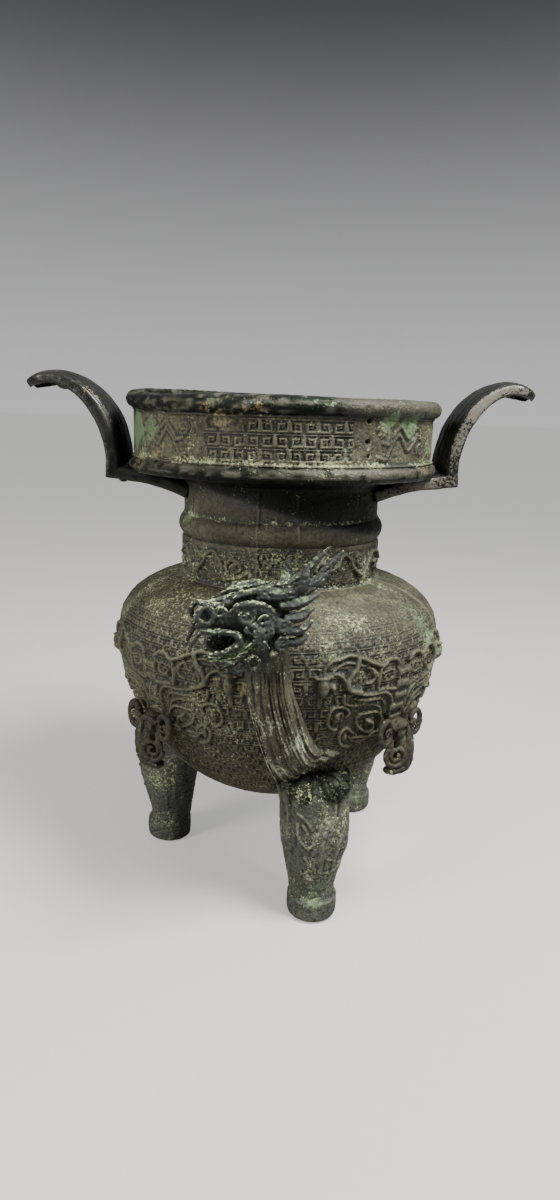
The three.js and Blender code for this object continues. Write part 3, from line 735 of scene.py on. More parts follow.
# One half of a beast mask: lines of (degrees from its middle, height z), each with its half width and
# its share of the mask's height.
MASK_LINES = {
    "brow": ([(30.4, 135.8), (30.1, 138.4), (28, 141.3), (25.1, 142), (22.1, 143.1), (17.9, 141.2),
              (12, 137.1), (9.2, 136.7), (7.4, 138.7), (4.3, 138.1), (2.6, 135.7)], 1.05, 0.85),
    "fin": ([(19.3, 140.9), (19.8, 137.6), (21.3, 134.7), (22.7, 131.7), (22.7, 128.4), (20.8, 126.3),
             (17.9, 124.9)], 1.5, 1.0),
    "body_top": ([(32.8, 133.4), (30.7, 134), (28.6, 133.8), (27.2, 135.3), (25, 133.9), (23.4, 130.7),
                  (22, 127.1), (17.8, 124), (13.4, 122.6), (8.8, 122.5), (6.1, 121), (4.2, 117),
                  (3.4, 108.7)], 0.95, 0.85),
    "body_low": ([(23.7, 124.6), (23.2, 120.4), (21.7, 119), (18.7, 117.7), (14.4, 117.5), (11.1, 116.3),
                  (8.6, 113.7), (7.2, 108.8)], 0.85, 0.7),
    "curl": ([(21.7, 112.3), (20.8, 114.6), (22.7, 117.7), (25.5, 118.5), (27.2, 116.9), (27.9, 112.8),
              (27.6, 109), (25.7, 106.1), (24.4, 105.9)], 0.95, 0.75),
    "spiral": ([(6.5, 103.3), (6.5, 107.2), (9.3, 112), (13.6, 112.7), (16.7, 112.3), (17.5, 109.4),
                (15.8, 105.1), (11.8, 101.8), (9.6, 103.1), (10.5, 106.7), (13.4, 108.9)], 0.95, 0.75),
    "claw": ([(17.5, 102.3), (20.3, 105.6), (22.4, 103.5), (22.4, 99.5), (20.6, 95.6), (17.4, 94)], 1.1, 0.7),
    "low_line": ([(16.9, 99.4), (12.5, 99), (8, 97.8), (5.3, 98.1)], 0.95, 0.6),
    "ear_block": ([(11, 134.7), (9.3, 137), (5.9, 138.3), (3.2, 136.5), (2.5, 130.1), (1.9, 124.6),
                   (3.2, 122.7), (8, 124), (11, 124.6), (11, 134.7)], 1.0, 0.6),
    "ear_heart": ([(9.9, 132.2), (5.6, 133.3), (4.8, 129.1), (8.6, 127.9)], 0.8, 0.5),
    "brow_low": ([(29.0, 134.6), (25.6, 138.6), (22.4, 139.8), (18.4, 138.0), (13.0, 134.2),
                  (11.6, 129.0)], 0.8, 0.5),
    "eye": ([(15.4, 131.6), (16.2, 133.0), (17.8, 131.8), (17.0, 129.4), (14.6, 128.8), (13.0, 131.2),
             (13.8, 134.4)], 0.75, 0.6),
    "ear_curl": ([(6.8, 130.4), (7.6, 131.6), (8.8, 130.2), (7.4, 128.4), (5.0, 129.4), (5.0, 132.6)], 0.7,
                 0.55),
    "whisker": ([(19.6, 121.2), (15.6, 120.4), (11.4, 119.8), (8.4, 118.4), (6.6, 114.8)], 0.75, 0.5),
    "curl_eye": ([(24.6, 112.4), (25.4, 113.8), (24.2, 115.2), (22.9, 113.6), (23.4, 110.8)], 0.75, 0.6),
    "jaw": ([(4.6, 105.6), (4.9, 100.4), (8.0, 99.8), (12.2, 97.0), (16.4, 97.2), (18.8, 100.4)], 0.8, 0.55),
}
# Swellings and dents of the half mask: degrees, z, half width and half height in millimetres, rise.
MASK_LUMPS = [
    (30.6, 129.6, 3.2, 6.2, 1.35), (27.7, 129.1, 1.9, 1.9, 1.1), (17.0, 132.6, 3.6, 5.4, -0.95),
    (25.0, 112.2, 2.6, 4.2, 0.45), (12.0, 107.0, 3.4, 4.0, 0.4), (20.4, 100.6, 2.2, 3.4, 0.4),
    (13.5, 120.0, 9.0, 2.2, 0.35),
]
MASK_RADIUS = 84.0      # the radius at which a mask's degrees are turned into millimetres
MASK_REACH = 37         # degrees from a mask's middle to its end
MASK_LOW_Z = 88
MASK_HIGH_Z = 148


def mask_relief(azimuth, z, centre, strength, seed):
    """Height and cover of one beast mask over the grid: mirrored rounded lines, swellings and a ladder
    nose on a slightly raised ground. strength fades it, as a worn casting does."""
    offset = turned_from(azimuth, centre)
    near = (np.abs(offset) < MASK_REACH) & (z > MASK_LOW_Z) & (z < MASK_HIGH_Z)
    height = np.zeros(azimuth.shape)
    cover = np.zeros(azimuth.shape)
    if not near.any():
        return height, cover
    away, up = np.abs(offset[near]), z[near]
    scale = np.radians(1) * MASK_RADIUS
    side = away * scale
    tall = sizes().mask_height / MM
    ground = smoothstep(33.5 - away, 0, 2) * smoothstep(up, 92, 96) * (1 - smoothstep(up, 139, 143))
    total = 0.35 * ground * smoothstep(up - (112 - 16 * smoothstep(away, 8, 20)), -14, -10)
    wear = 0.8 + 0.25 * value_noise(np.stack([side * np.sign(offset[near]), up, 0 * up], -1), 9.0, seed)
    for line, half_width, rise in MASK_LINES.values():
        path = smooth_line(np.array(line) * [scale, 1], 5)
        ridge = ridge_height(line_distance(side, up, path, 3.5), half_width, tall * rise)
        total = np.maximum(total, ridge * wear)
    for at, middle, wide, high, rise in MASK_LUMPS:
        from_lump = np.hypot((side - at * scale) / wide, (up - middle) / high)
        total += tall * rise * (1 - smoothstep(from_lump, 0.25, 1.1))
    nose = (1 - smoothstep(away, 2.6, 3.4)) * smoothstep(up, 102, 104) * (1 - smoothstep(up, 132, 134))
    rungs = smoothstep(np.cos(2 * np.pi * (up - 131) / 6.2), -0.3, 0.5)
    total = np.maximum(total, nose * tall * (0.25 + 0.42 * rungs))
    height[near] = total * strength
    cover[near] = smoothstep(total, 0.5, 1.1)
    return height, cover


MASKS = {45.0: 1.0, -45.0: 0.85, 135.0: 0.6, -135.0: 0.6}   # middle azimuth and how crisp it still is


def belly_relief(azimuths, profile, fretted):
    """Relief of the belly over a grid: square spirals between the masks, smaller ones round them and a
    fine diaper on the shoulder, all worn unevenly, under the masks themselves. The back has no fret."""
    azimuth, z, places = grid_places(profile, azimuths)
    columns = np.broadcast_to(np.round((azimuths + 180) / COLUMN).astype(int)[None, :], azimuth.shape)
    rows = np.broadcast_to(np.arange(len(profile))[:, None], azimuth.shape)
    seed = sizes().seed

    large = fret(rows, columns, 12)
    small = fret(rows, columns, 8)
    diaper = 0.5 + 0.5 * np.cos(np.pi * rows / 2.0) * np.cos(np.pi * (columns + rows) / 3.0)
    between = (1 - smoothstep(np.abs(z - 122), 18, 21)) * (1 - smoothstep(np.abs(azimuth), 24, 27))
    high = smoothstep(z, 154, 158)
    pattern = large * between + small * (1 - between) * (1 - high) + 0.5 * diaper * high
    pattern = np.where(z > SHOULDER_FRET_Z, 0.35 + 0.65 * pattern, pattern)
    worn = smoothstep(rough_noise(places, 15.0, seed + 40, 2), -0.55, 0.35)
    fading = (0.55 + 0.60 * worn) * smoothstep(z, 58, 68) * (1 - smoothstep(z, 162, 164.5)) * fretted
    ground = -sizes().fret_depth / MM * fading * (1 - pattern)

    height = np.zeros(azimuth.shape)
    cover = np.zeros(azimuth.shape)
    for centre, strength in MASKS.items():
        mask_height, mask_cover = mask_relief(azimuth, z, centre, strength, seed + int(centre) + 200)
        height = np.maximum(height, mask_height)
        cover = np.maximum(cover, mask_cover)
    belt = ridge_height(np.abs(z - BELT_Z), 0.7, 0.25)
    relief = (ground + belt) * (1 - cover) + height
    return relief - 0.25 + skin_roughness(places) * smoothstep(SHOULDER_Z - z, 0.0, 3.0)


BELT_Z = 147.8          # the fine line between the belly's carving and the shoulder's
SHOULDER_FRET_Z = 148   # above it the fret is shallower
COLUMN = 360 / 936      # azimuth between two columns of the carving grid
FRONT_COLUMNS = 186     # columns from the middle of the front plate to its edge
INNER_STEP = 4          # the wall's inner grid has every fourth place of the carved one


def belly_rows():
    """The belly's profile from the shoulder down: rows one lane apart, wider below the carving."""
    above = np.linspace(SHOULDER_Z, BELLY_WIDEST_Z, 400)
    below = np.linspace(BELLY_WIDEST_Z, BELLY_BOTTOM_Z, 900)[1:]
    z = np.concatenate([above, below])
    line = np.stack([belly_radius(z), z], axis=1)
    lengths = np.r_[0, np.cumsum(np.linalg.norm(np.diff(line, axis=0), axis=1))]
    carved_end, last = np.interp([-CARVED_LOW_Z, -PLATE_LOW_Z], -z, lengths)
    at = np.r_[np.arange(0, carved_end, LANE), np.linspace(carved_end, last, 49)]
    at = at[: (len(at) - 1) // 8 * 8 + 1]
    return np.stack([np.interp(at, lengths, line[:, k]) for k in range(2)], axis=1)


CARVED_LOW_Z = 78       # down to here the rows stand one lane apart
PLATE_LOW_Z = 50        # where the front and back plates give way to the bowl's underside


def belly_dust(skin):
    """Dust on the belly: more on the shoulder and the left, and less underneath, which darkens the lower
    belly as painted shade; in broad clouds.
    """
    x, _, z = skin.places.T
    shoulder = 0.09 * smoothstep(z, 138, 160)
    underneath = 0.04 * (1 - smoothstep(z, 62, 96))
    left = 0.07 * (1 - smoothstep(x, -55, 0))
    return shoulder - underneath + left + 0.12 * value_noise(skin.places, 22.0, 5)


BELLY_STAINS = {
    "green": spots((-78, 150, 16, 0.55), (-60, 130, 14, 0.5), (-48, 116, 16, 0.42), (-60, 158, 14, 0.5),
                   (40, 118, 16, 0.3), (62, 150, 14, 0.55), (75, 128, 12, 0.7), (20, 152, 12, 0.35),
                   (-30, 104, 9, 0.45), (150, 150, 25, 0.4), (-130, 140, 25, 0.4), (30, 100, 10, 0.3)),
    "ochre": spots((-19, 127, 9, 0.62), (-9.5, 127, 4.2, 0.8), (-15, 118, 12, 0.48), (-12, 106, 9, 0.5),
                   (-46, 118, 16, 0.56), (-60, 106, 12, 0.5), (33, 96, 12, 0.45), (-24, 88, 16, 0.4),
                   (12, 100, 8, 0.35), (-16, 74, 26, 0.45), (30, 76, 20, 0.4), (-40, 84, 16, 0.45),
                   (160, 120, 16, 0.35)),
    "soot_and_shade": spots((12, 118, 9, 0.35), (14, 134, 7, 0.3), (-30, 98, 8, 0.4), (6, 88, 9, 0.4),
                  (-14, 140, 5, 0.6), (22, 84, 9, 0.5), (-80, 90, 14, 0.4)),
    "dust_and_highlight": belly_dust,
}


def build_belly():
    """The belly's two closed plates: the carved front, and the back with masks alone."""
    profile = belly_rows()
    normals = profile_normals(profile)
    wall = sizes().wall / MM
    edge = FRONT_COLUMNS * COLUMN
    front = np.arange(-FRONT_COLUMNS, FRONT_COLUMNS + 1) * COLUMN
    back = np.linspace(edge, 360 - edge, 273)
    for name, azimuths, fretted in (("belly_front", front, True), ("belly_back", back, False)):
        outer = turn(profile, normals, azimuths, belly_relief(azimuths, profile, fretted))
        shell = closed_sheet(outer, turned_normals(normals, azimuths), wall, INNER_STEP)
        make_piece(name, [shell], body_bronze(), "body_bronze", ["vessel"], BELLY_STAINS)


def build_belly_base():
    """The bowl's underside: the belly's own curve run on to the middle, closed by an inner face."""
    wall = sizes().wall / MM
    least = 0.4
    turns = np.linspace(np.pi / 2, 0, 26)
    z = BELLY_WIDEST_Z - (BELLY_WIDEST_Z - BELLY_BOTTOM_Z) * np.sin(turns) ** 1.2
    z = z[z < PLATE_LOW_Z + 3]
    outer = np.stack([np.maximum(belly_radius(z), least), z], axis=1)
    inner = outer[::-1] + [[-0.5, wall]]
    inner[:, 0] = np.maximum(inner[:, 0], least)
    outline = np.vstack([outer, inner])
    azimuths = np.arange(0, 360, 3)
    points = turn(outline, np.zeros_like(outline), azimuths, np.zeros((len(outline), len(azimuths))))
    make_piece("belly_base", [closed_turn(points)], body_bronze(), "body_bronze", ["vessel"], BELLY_STAINS)


# ---------------------------------------------------------------- neck and drum


def spaced(points, spacing):
    """A profile's places at about the given spacing along it, its corners kept."""
    line = np.asarray(points, float)
    parts = []
    for start, end in zip(line[:-1], line[1:]):
        count = max(1, round(float(np.linalg.norm(end - start)) / spacing))
        parts.append(start + (end - start) * (np.arange(count) / count)[:, None])
    return np.vstack([*parts, line[-1:]])


def arc(radius, z, size, start, end, count):
    """Places (radius, z) of a round edge from one angle to another, in degrees from outwards."""
    angle = np.radians(np.linspace(start, end, count))
    return np.stack([radius + size * np.cos(angle), z + size * np.sin(angle)], axis=1)


def spiral_line(middle, size, turns, start=0.0, hand=1, tail=()):
    """A round spiral from its middle outwards, in millimetres, with an optional tail of further places."""
    angle = np.linspace(0, turns * 2 * np.pi, int(14 * turns) + 2)
    reach = size * (0.15 + 0.85 * angle / angle[-1])
    turned = start + hand * angle
    line = np.stack([middle[0] + reach * np.cos(turned), middle[1] + reach * np.sin(turned)], axis=1)
    return np.vstack([line, tail]) if len(tail) else line


def grid_places(profile, azimuths):
    """Azimuth, height and place in space over a turned grid."""
    azimuth = np.broadcast_to(azimuths[None, :], (len(profile), len(azimuths)))
    z = np.broadcast_to(profile[:, 1:], azimuth.shape)
    radius = np.broadcast_to(profile[:, :1], azimuth.shape)
    angle = np.radians(azimuth)
    return azimuth, z, np.stack([radius * np.sin(angle), -radius * np.cos(angle), z], axis=-1)


def raised(side, z, lines, half_width, rise, reach=3.0):
    """The highest of several rounded lines over a grid."""
    total = np.zeros(side.shape)
    for line in lines:
        total = np.maximum(total, ridge_height(line_distance(side, z, line, reach), half_width, rise))
    return total


def seam(azimuth, at, radius, height=0.45):
    """A thin casting seam that runs up the wall at an azimuth."""
    away = np.abs(turned_from(azimuth, at)) * np.radians(radius)
    return height * (1 - smoothstep(away, 0.2, 0.75))


NECK_SEAMS = (-11.7, 9.7)
NECK_BAND = (168.2, 186.4)


def neck_relief(profile, azimuths, outside):
    """Relief of the neck: seams all the way up; on its lower band spirals on stems, a fret between the
    seams, and waves, repeated round the back."""
    azimuth, z, places = grid_places(profile, azimuths)
    radius = 52.5
    side = np.radians(azimuth) * radius
    low, high = NECK_BAND
    band = smoothstep(z, low, low + 0.8) * (1 - smoothstep(z, high - 0.8, high)) * outside
    rows = np.broadcast_to(((z - low) / 0.52).astype(int), azimuth.shape)
    columns = np.broadcast_to(np.round((azimuths + 180) / (360 / 624)).astype(int)[None, :], azimuth.shape)
    panel = np.zeros(azimuth.shape)
    for centre in (-1.0, 179.0):
        panel = np.maximum(panel, 1 - smoothstep(np.abs((azimuth - centre + 180) % 360 - 180), 10.4, 11.2))
    sunk = 1 - fret(rows, columns, 8)
    relief = -1.0 * sunk * panel * band - 0.3 * sunk * (1 - panel) * band
    lines = []
    for centre, hand in ((-24.0, 1), (22.0, -1), (156.0, 1), (202.0 - 360, -1)):
        at = np.radians(centre) * radius
        lines.append(spiral_line((at, 176.4), 5.6, 1.7, 1.2, hand))
        wave = np.array([(0, -5.6), (5.5 * hand, -6.2), (8, 0.5), (12, 6.2), (17, 4.2), (21, -1.5),
                         (26, -5.2), (31, -1.4), (36, 4.6), (41, 5.4), (45, 1.2)])
        wave[:, 0] *= -hand
        lines.append(smooth_line(wave + [at, 177.0], 5))
        for further in (24.0, 41.0):
            middle = (at - hand * further, 175.0 + (further < 30) * 4.5)
            lines.append(spiral_line(middle, 2.9, 1.3, 0.5, -hand))
    motifs = raised(side, z, lines, 1.2, 2.1) * band
    worn = 0.55 + 0.6 * smoothstep(rough_noise(places, 12.0, 61, 2), -0.5, 0.5)
    relief = relief * (1 - smoothstep(motifs, 0.1, 0.5)) + motifs * worn * (1 - panel)
    for at in NECK_SEAMS:
        strength = 0.7 + 0.6 * value_noise(places, 4.0, 71)
        relief = relief + 1.5 * seam(azimuth, at, radius) * outside * strength
    edge_lines = ridge_height(np.abs(z - low), 0.5, 0.4) + ridge_height(np.abs(z - high), 0.5, 0.35)
    return relief + outside * (0.6 * skin_roughness(places, 2) + edge_lines) + 0.9 * band


def build_neck():
    """The waisted neck: a closed ring section, carved below, with a smooth rounded ring half way up."""
    neck = sizes().neck_radius / MM
    wall = sizes().wall / MM
    outline = np.vstack([
        spaced([(neck + 1.2, 216.0), (neck + 0.2, 213.0), (neck, 199.2), (neck + 0.5, 198.4)], 1.0),
        arc(neck - 4.0, 192.5, 6.9, 56, -56, 15),
        spaced([(neck + 0.4, 186.6), (neck + 0.3, 168.0)], 0.52),
        spaced([(neck + 1.2, 166.6), (neck + 2.6, 165.8)], 0.6),
    ])
    inner = spaced([(neck - wall, 160.0), (neck - wall, 216.0)], 6.0)
    profile = np.vstack([outline, inner])
    outside = np.r_[np.ones(len(outline)), np.zeros(len(inner))][:, None]
    normals = profile_normals(outline)
    normals = np.vstack([normals, np.zeros_like(inner)])
    azimuths = np.arange(624) * (360 / 624) - 180
    points = turn(profile, normals, azimuths, neck_relief(profile, azimuths, outside))
    stains = {
        "green": spots((-60, 195, 12, 0.5), (-50, 176, 8, 0.55), (70, 180, 10, 0.5), (30, 172, 7, 0.3),
                       (-75, 205, 9, 0.5)),
        "ochre": spots((-40, 183, 10, 0.55), (-20, 199, 8, 0.35), (18, 200, 10, 0.3), (-30, 199, 9, 0.35)),
        # Painted shadow under the flange, reaching lower on the right, and painted shade in the band's
        # hollows, over a slight even soot.
        "soot_and_shade": lambda skin: (0.10 + 0.86 * smoothstep(skin.places[:, 2] + 0.26 * skin.places[:, 0], 195, 207)
                              + 0.6 * smoothstep(-skin.rise, 0.05, 0.45) * (skin.places[:, 2] < 187)),
        "dust_and_highlight": lambda skin: (0.20 * (1 - smoothstep(np.abs(skin.places[:, 2] - 199), 0.4, 2.2))
                                 + 0.16 * (1 - smoothstep(skin.places[:, 2], 182, 190))
                                 - 0.42 * smoothstep(skin.places[:, 2], 198, 204)
                                 - 0.30 * (1 - smoothstep(np.abs(skin.places[:, 2] - 192), 2.0, 5.5))),
    }
    return make_piece("neck", [closed_turn(points)], body_bronze(), "body_bronze", ["vessel"], stains=stains)


DRUM_BAND = (228.7, 247.8)
DRUM_PANELS = ((-1.6, 25.0), (180.0, 25.0))       # middle azimuth and half breadth of the fretted panels
DRUM_HOLES = ((29.6, 247.6, 1.5), (29.2, 238.4, 1.6), (29.8, 232.2, 1.0))


def drum_relief(profile, azimuths, outside):
    """Relief of the drum wall: three rows of square spirals on the panels, seams through them, and a
    hooked wave with a spiral on either side; a few casting holes; knocks and pits on the lip."""
    azimuth, z, places = grid_places(profile, azimuths)
    radius = sizes().drum_radius / MM
    side = np.radians(azimuth) * radius
    low, high = DRUM_BAND
    wall_rows = smoothstep(z, low, low + 0.5) * (1 - smoothstep(z, high - 0.5, high)) * outside
    rows = np.broadcast_to(((z - low) / 0.5306 + 0.01).astype(int), azimuth.shape)
    columns = np.broadcast_to(np.round((azimuths + 180) / (360 / 924)).astype(int)[None, :], azimuth.shape)
    panel = np.zeros(azimuth.shape)
    for centre, half in DRUM_PANELS:
        away = np.abs(turned_from(azimuth, centre))
        panel = np.maximum(panel, 1 - smoothstep(away, half - 0.6, half + 0.4))
    worn = smoothstep(rough_noise(places, 12.0, 83, 2), -0.7, 0.25)
    corner = smoothstep(np.hypot((azimuth + 18) * 1.2, z - 250), 6, 11)
    depth = sizes().fret_depth / MM * 1.15
    relief = 1.15 * depth * (fret(rows, columns, 12) - 0.5) * panel * wall_rows
    relief = relief * (0.62 + 0.38 * worn) * corner
    lines = []
    for centre in (0.0, 180.0):
        for hand in (1, -1):
            at = np.radians(centre + hand * 44.0) * radius
            hook = np.array([(-14, -6.5), (-9, -7.6), (-7, -3.5), (-1.5, 3.4), (2.5, 0.2), (6, -3.6),
                             (10, -1.4), (14.5, 3.2), (19, 0.6)])
            hook[:, 0] *= hand
            lines.append(smooth_line(hook + [at, 238.2], 5))
            lines.append(smooth_line((hook + [hand * 0.8, 3.6]) * [0.86, 0.7] + [at, 240.2], 5))
            lines.append(spiral_line((at - hand * 12.0, 243.0), 3.2, 1.4, 0.4, hand))
            lines.append(spiral_line((at + hand * 9.5, 243.2), 2.8, 1.3, 2.0, -hand))
            lines.append(spiral_line((at + hand * 17.5, 234.4), 3.2, 1.4, 1.0, hand))
    for turned in (360, -360):
        lines += [line + [np.radians(turned) * radius, 0] for line in lines[-5:]]
    motifs = raised(side, z, lines, 1.0, 0.8) * wall_rows * (1 - panel)
    relief = relief + motifs * (0.5 + 0.5 * worn)
    for at in (-2.6, 4.0):
        relief = relief + seam(azimuth, at, radius, 0.4) * wall_rows
    for at, height, size in DRUM_HOLES:
        away = np.hypot(np.radians(azimuth - at) * radius, z - height)
        relief = relief - 2.2 * (1 - smoothstep(away, 0.35 * size, size)) * outside
    crust = 1 - smoothstep(np.hypot((azimuth + 19.5) * 1.35, (z - 249.5) * 1.5), 8, 15)
    relief = relief + crust * outside * (0.35 + 0.55 * value_noise(places, 1.5, 91))
    nick = 1 - smoothstep(np.hypot(np.radians(azimuth + 22.5) * radius, z - 257), 1.2, 3.0)
    return relief - 1.5 * nick * outside + outside * 0.8 * skin_roughness(places, 4)


def build_drum():
    """Flange, upright wall, rolled lip and the tray inside, as one closed ring section."""
    neck = sizes().neck_radius / MM
    radius = sizes().drum_radius / MM
    wall = sizes().wall / MM
    low, high = DRUM_BAND
    outline = np.vstack([
        spaced([(INSIDE_RADIUS + 0.4, LIP_Z - 4.6), (INSIDE_RADIUS + 1.2, LIP_Z - 1.6)], 0.9),
        arc(LIP_RADIUS - 4.6, LIP_Z - 3.1, 3.1, 125, 80, 5),
        arc(LIP_RADIUS - 4.1, LIP_Z - 4.1, 4.0, 78, -78, 14),
        spaced([(radius + 0.7, high + 0.9), (radius, high)], 0.5),
        spaced([(radius, high), (radius, low)], 0.5306),
        spaced([(radius + 0.2, FLANGE_HIGH_Z + 0.9), (radius + 1.2, FLANGE_HIGH_Z + 0.1)], 0.6),
        arc(79.8 - 3.6, 223.3, 3.8, 74, -80, 10),
        spaced([(75.6, FLANGE_LOW_Z + 0.2), (neck + 4.0, FLANGE_LOW_Z - 0.6), (neck + 1.0, FLANGE_LOW_Z - 4)],
               2.2),
    ])
    inner = np.vstack([
        spaced([(neck - wall, FLANGE_LOW_Z - 4), (neck - wall, FLOOR_Z - 1.5), (neck - wall + 1.5, FLOOR_Z)],
               2.5),
        spaced([(INSIDE_RADIUS - 3, FLOOR_Z + 0.6), (INSIDE_RADIUS, FLOOR_Z + 4), (INSIDE_RADIUS, LIP_Z - 6)],
               3.5),
    ])
    profile = np.vstack([outline, inner])
    outside = np.r_[np.ones(len(outline)), np.zeros(len(inner))][:, None]
    normals = np.vstack([profile_normals(outline), np.zeros_like(inner)])
    azimuths = np.arange(924) * (360 / 924) - 180
    points = turn(profile, normals, azimuths, drum_relief(profile, azimuths, outside))

    def dust_and_highlight(skin):
        places = skin.places
        inside = np.hypot(places[:, 0], places[:, 1]) < INSIDE_RADIUS + 0.8
        ledge = 1 - smoothstep(np.abs(places[:, 2] - 228.4), 0.6, 2.6)
        under = 1 - smoothstep(places[:, 2], 219.6, 221.5)
        lip = smoothstep(places[:, 2], 250.5, 253)
        clouds = 0.14 * value_noise(places, 18.0, 8)
        return 0.22 * ledge - 0.7 * under - 0.13 * lip + 0.04 * (1 - inside) + clouds - 0.02

    # Dark patina on the lip and the flange's face, made lighter to the right as painted light; painted shade
    # under the flange; darker inside the rim.
    def drum_soot_and_shade(skin):
        x, z = skin.places[:, 0], skin.places[:, 2]
        patchy = 1 + 0.5 * value_noise(skin.places * [1, 1, 3], 4.0, 3)
        lip = (0.88 - 0.42 * smoothstep(x, 10, 50)) * smoothstep(z, 247.4, 249.6) * patchy
        flange = (0.80 - 0.16 * smoothstep(x, 0, 50)) * (1 - smoothstep(z, 226.8, 228.2)) * patchy
        under = 0.97 * (1 - smoothstep(z, 221.4, 224.4))
        inside = 0.7 * (np.hypot(x, skin.places[:, 1]) < INSIDE_RADIUS + 0.3)
        return np.maximum(np.maximum(lip, flange), np.maximum(under, inside))

    stains = {
        "green": spots((-66, 240, 11, 1.0), (-55, 241, 9, 0.75), (-60, 234, 6, 0.7), (-50, 242, 8, 0.4),
                       (38, 247, 6, 0.9), (50, 246, 8, 0.75), (66, 234, 8, 0.7), (80, 242, 9, 0.6),
                       (22, 232, 5, 0.5), (-20, 256, 9, 0.45), (10, 256, 8, 0.5), (150, 240, 18, 0.5),
                       (-140, 236, 18, 0.5), (0, 224, 6, 0.3)),
        "ochre": spots((-24.5, 252.5, 4.4, 0.72), (-21, 247, 6.0, 0.72), (-7.5, 252, 4.0, 0.66),
                       (-14, 250, 8, 0.58), (-62, 228, 7, 0.75), (-48, 229, 7, 0.7), (-36, 229, 6, 0.5),
                       (62, 228, 8, 0.7), (74, 229, 6, 0.6), (4, 228, 5, 0.5)),
        "soot_and_shade": drum_soot_and_shade,
        "dust_and_highlight": dust_and_highlight,
    }
    return make_piece("drum", [closed_turn(points)], body_bronze(), "body_bronze", ["vessel"], stains=stains)


# ---------------------------------------------------------------- handles

# A strap's top line seen from the front, on the +X side, as (x, z) from its corner inwards and upwards.
HANDLE_ARM = [(84.2, 220.2), (77.5, 218.9), (69, 218), (57, 214.8), (47, 211)]
HANDLE_RISE = [(84.2, 220.2), (84.4, 228), (86.2, 237), (89.4, 246.2), (95.6, 255.6), (103.6, 262.2),
               (112, 265.4), (119, 265.2), (125, 263.2), (128.3, 261)]
HANDLE_CROWN = 3.8
HANDLE_DEPTH = 4.8
HANDLE_PLATE = 2.0
LEFT_SPREAD = 0.079     # how much further the left strap leans out


def strap_section():
    """A strap's section as (share of the half width, rise): a crowned face with border beads and
    grooves, side flanges, and a hollow back."""
    face = np.linspace(-1, 1, 73)
    edge = np.abs(face)
    rise = HANDLE_CROWN * (1 - edge**2.6) * (1 - 0.25 * smoothstep(edge, 0.80, 0.84))
    for middle, breadth, height in ((0.935, 0.05, 1.0), (0.82, 0.035, -0.7), (0.60, 0.04, -0.5),
                                    (0.30, 0.05, -0.35)):
        rise = rise + height * np.exp(-((edge - middle) / breadth) ** 2)
    rise[[0, -1]] = -0.3
    wall = np.array([(1, -1.2), (1.0, -2.4), (1, -3.6), (0.985, -4.5), (0.96, -HANDLE_DEPTH),
                     (0.86, -HANDLE_DEPTH), (0.83, -4.4), (0.81, -3.2), (0.77, -HANDLE_PLATE)])
    back = np.stack([np.linspace(0.7, -0.7, 15), np.full(15, -HANDLE_PLATE)], axis=1)
    return np.vstack([np.stack([face, rise], axis=1), wall, back, wall[::-1] * [-1, 1]])


def strap_line(points, lean):
    """Places, directions and lengths along one arm of the strap, from the corner."""
    line = resample(smooth_line(points, 12), 160)
    along = np.gradient(line, axis=0)
    along /= np.linalg.norm(along, axis=1, keepdims=True)
    lengths = np.r_[0, np.cumsum(np.linalg.norm(np.diff(line, axis=0), axis=1))]
    return line, along, lengths, np.stack([along[:, 1], -along[:, 0]], axis=1) * lean


def strap_arm(points, lean, distances, rise, mitre):
    """Places over (distance, rise): the line's place moved square to it by the rise. Towards the corner
    each distance is shifted by rise x tan(half the turn), so that the two arms meet in a mitre."""
    line, along, lengths, square = strap_line(points, lean)
    shifted = distances[:, None] + rise * mitre * np.clip(1 - distances[:, None] / 14, 0, 1)
    inside = np.maximum(shifted, 0)
    places = [np.interp(inside, lengths, line[:, k]) + along[0, k] * np.minimum(shifted, 0)
              + rise * np.interp(inside, lengths, square[:, k]) for k in range(2)]
    return np.stack(places, axis=-1)


def grid_normals(points):
    """Unit normals of a grid of rings whose columns wrap; their sign depends on the grid's turn."""
    along = np.gradient(points, axis=0)
    around = np.roll(points, -1, axis=1) - np.roll(points, 1, axis=1)
    normals = np.cross(around, along)
    return normals / np.maximum(np.linalg.norm(normals, axis=-1, keepdims=True), 1e-9)


def outward(points):
    """Grid normals of a tube, turned away from each ring's middle."""
    normals = grid_normals(points)
    middle = points.mean(axis=1, keepdims=True)
    return normals * np.sign(np.sum(normals * (points - middle)))


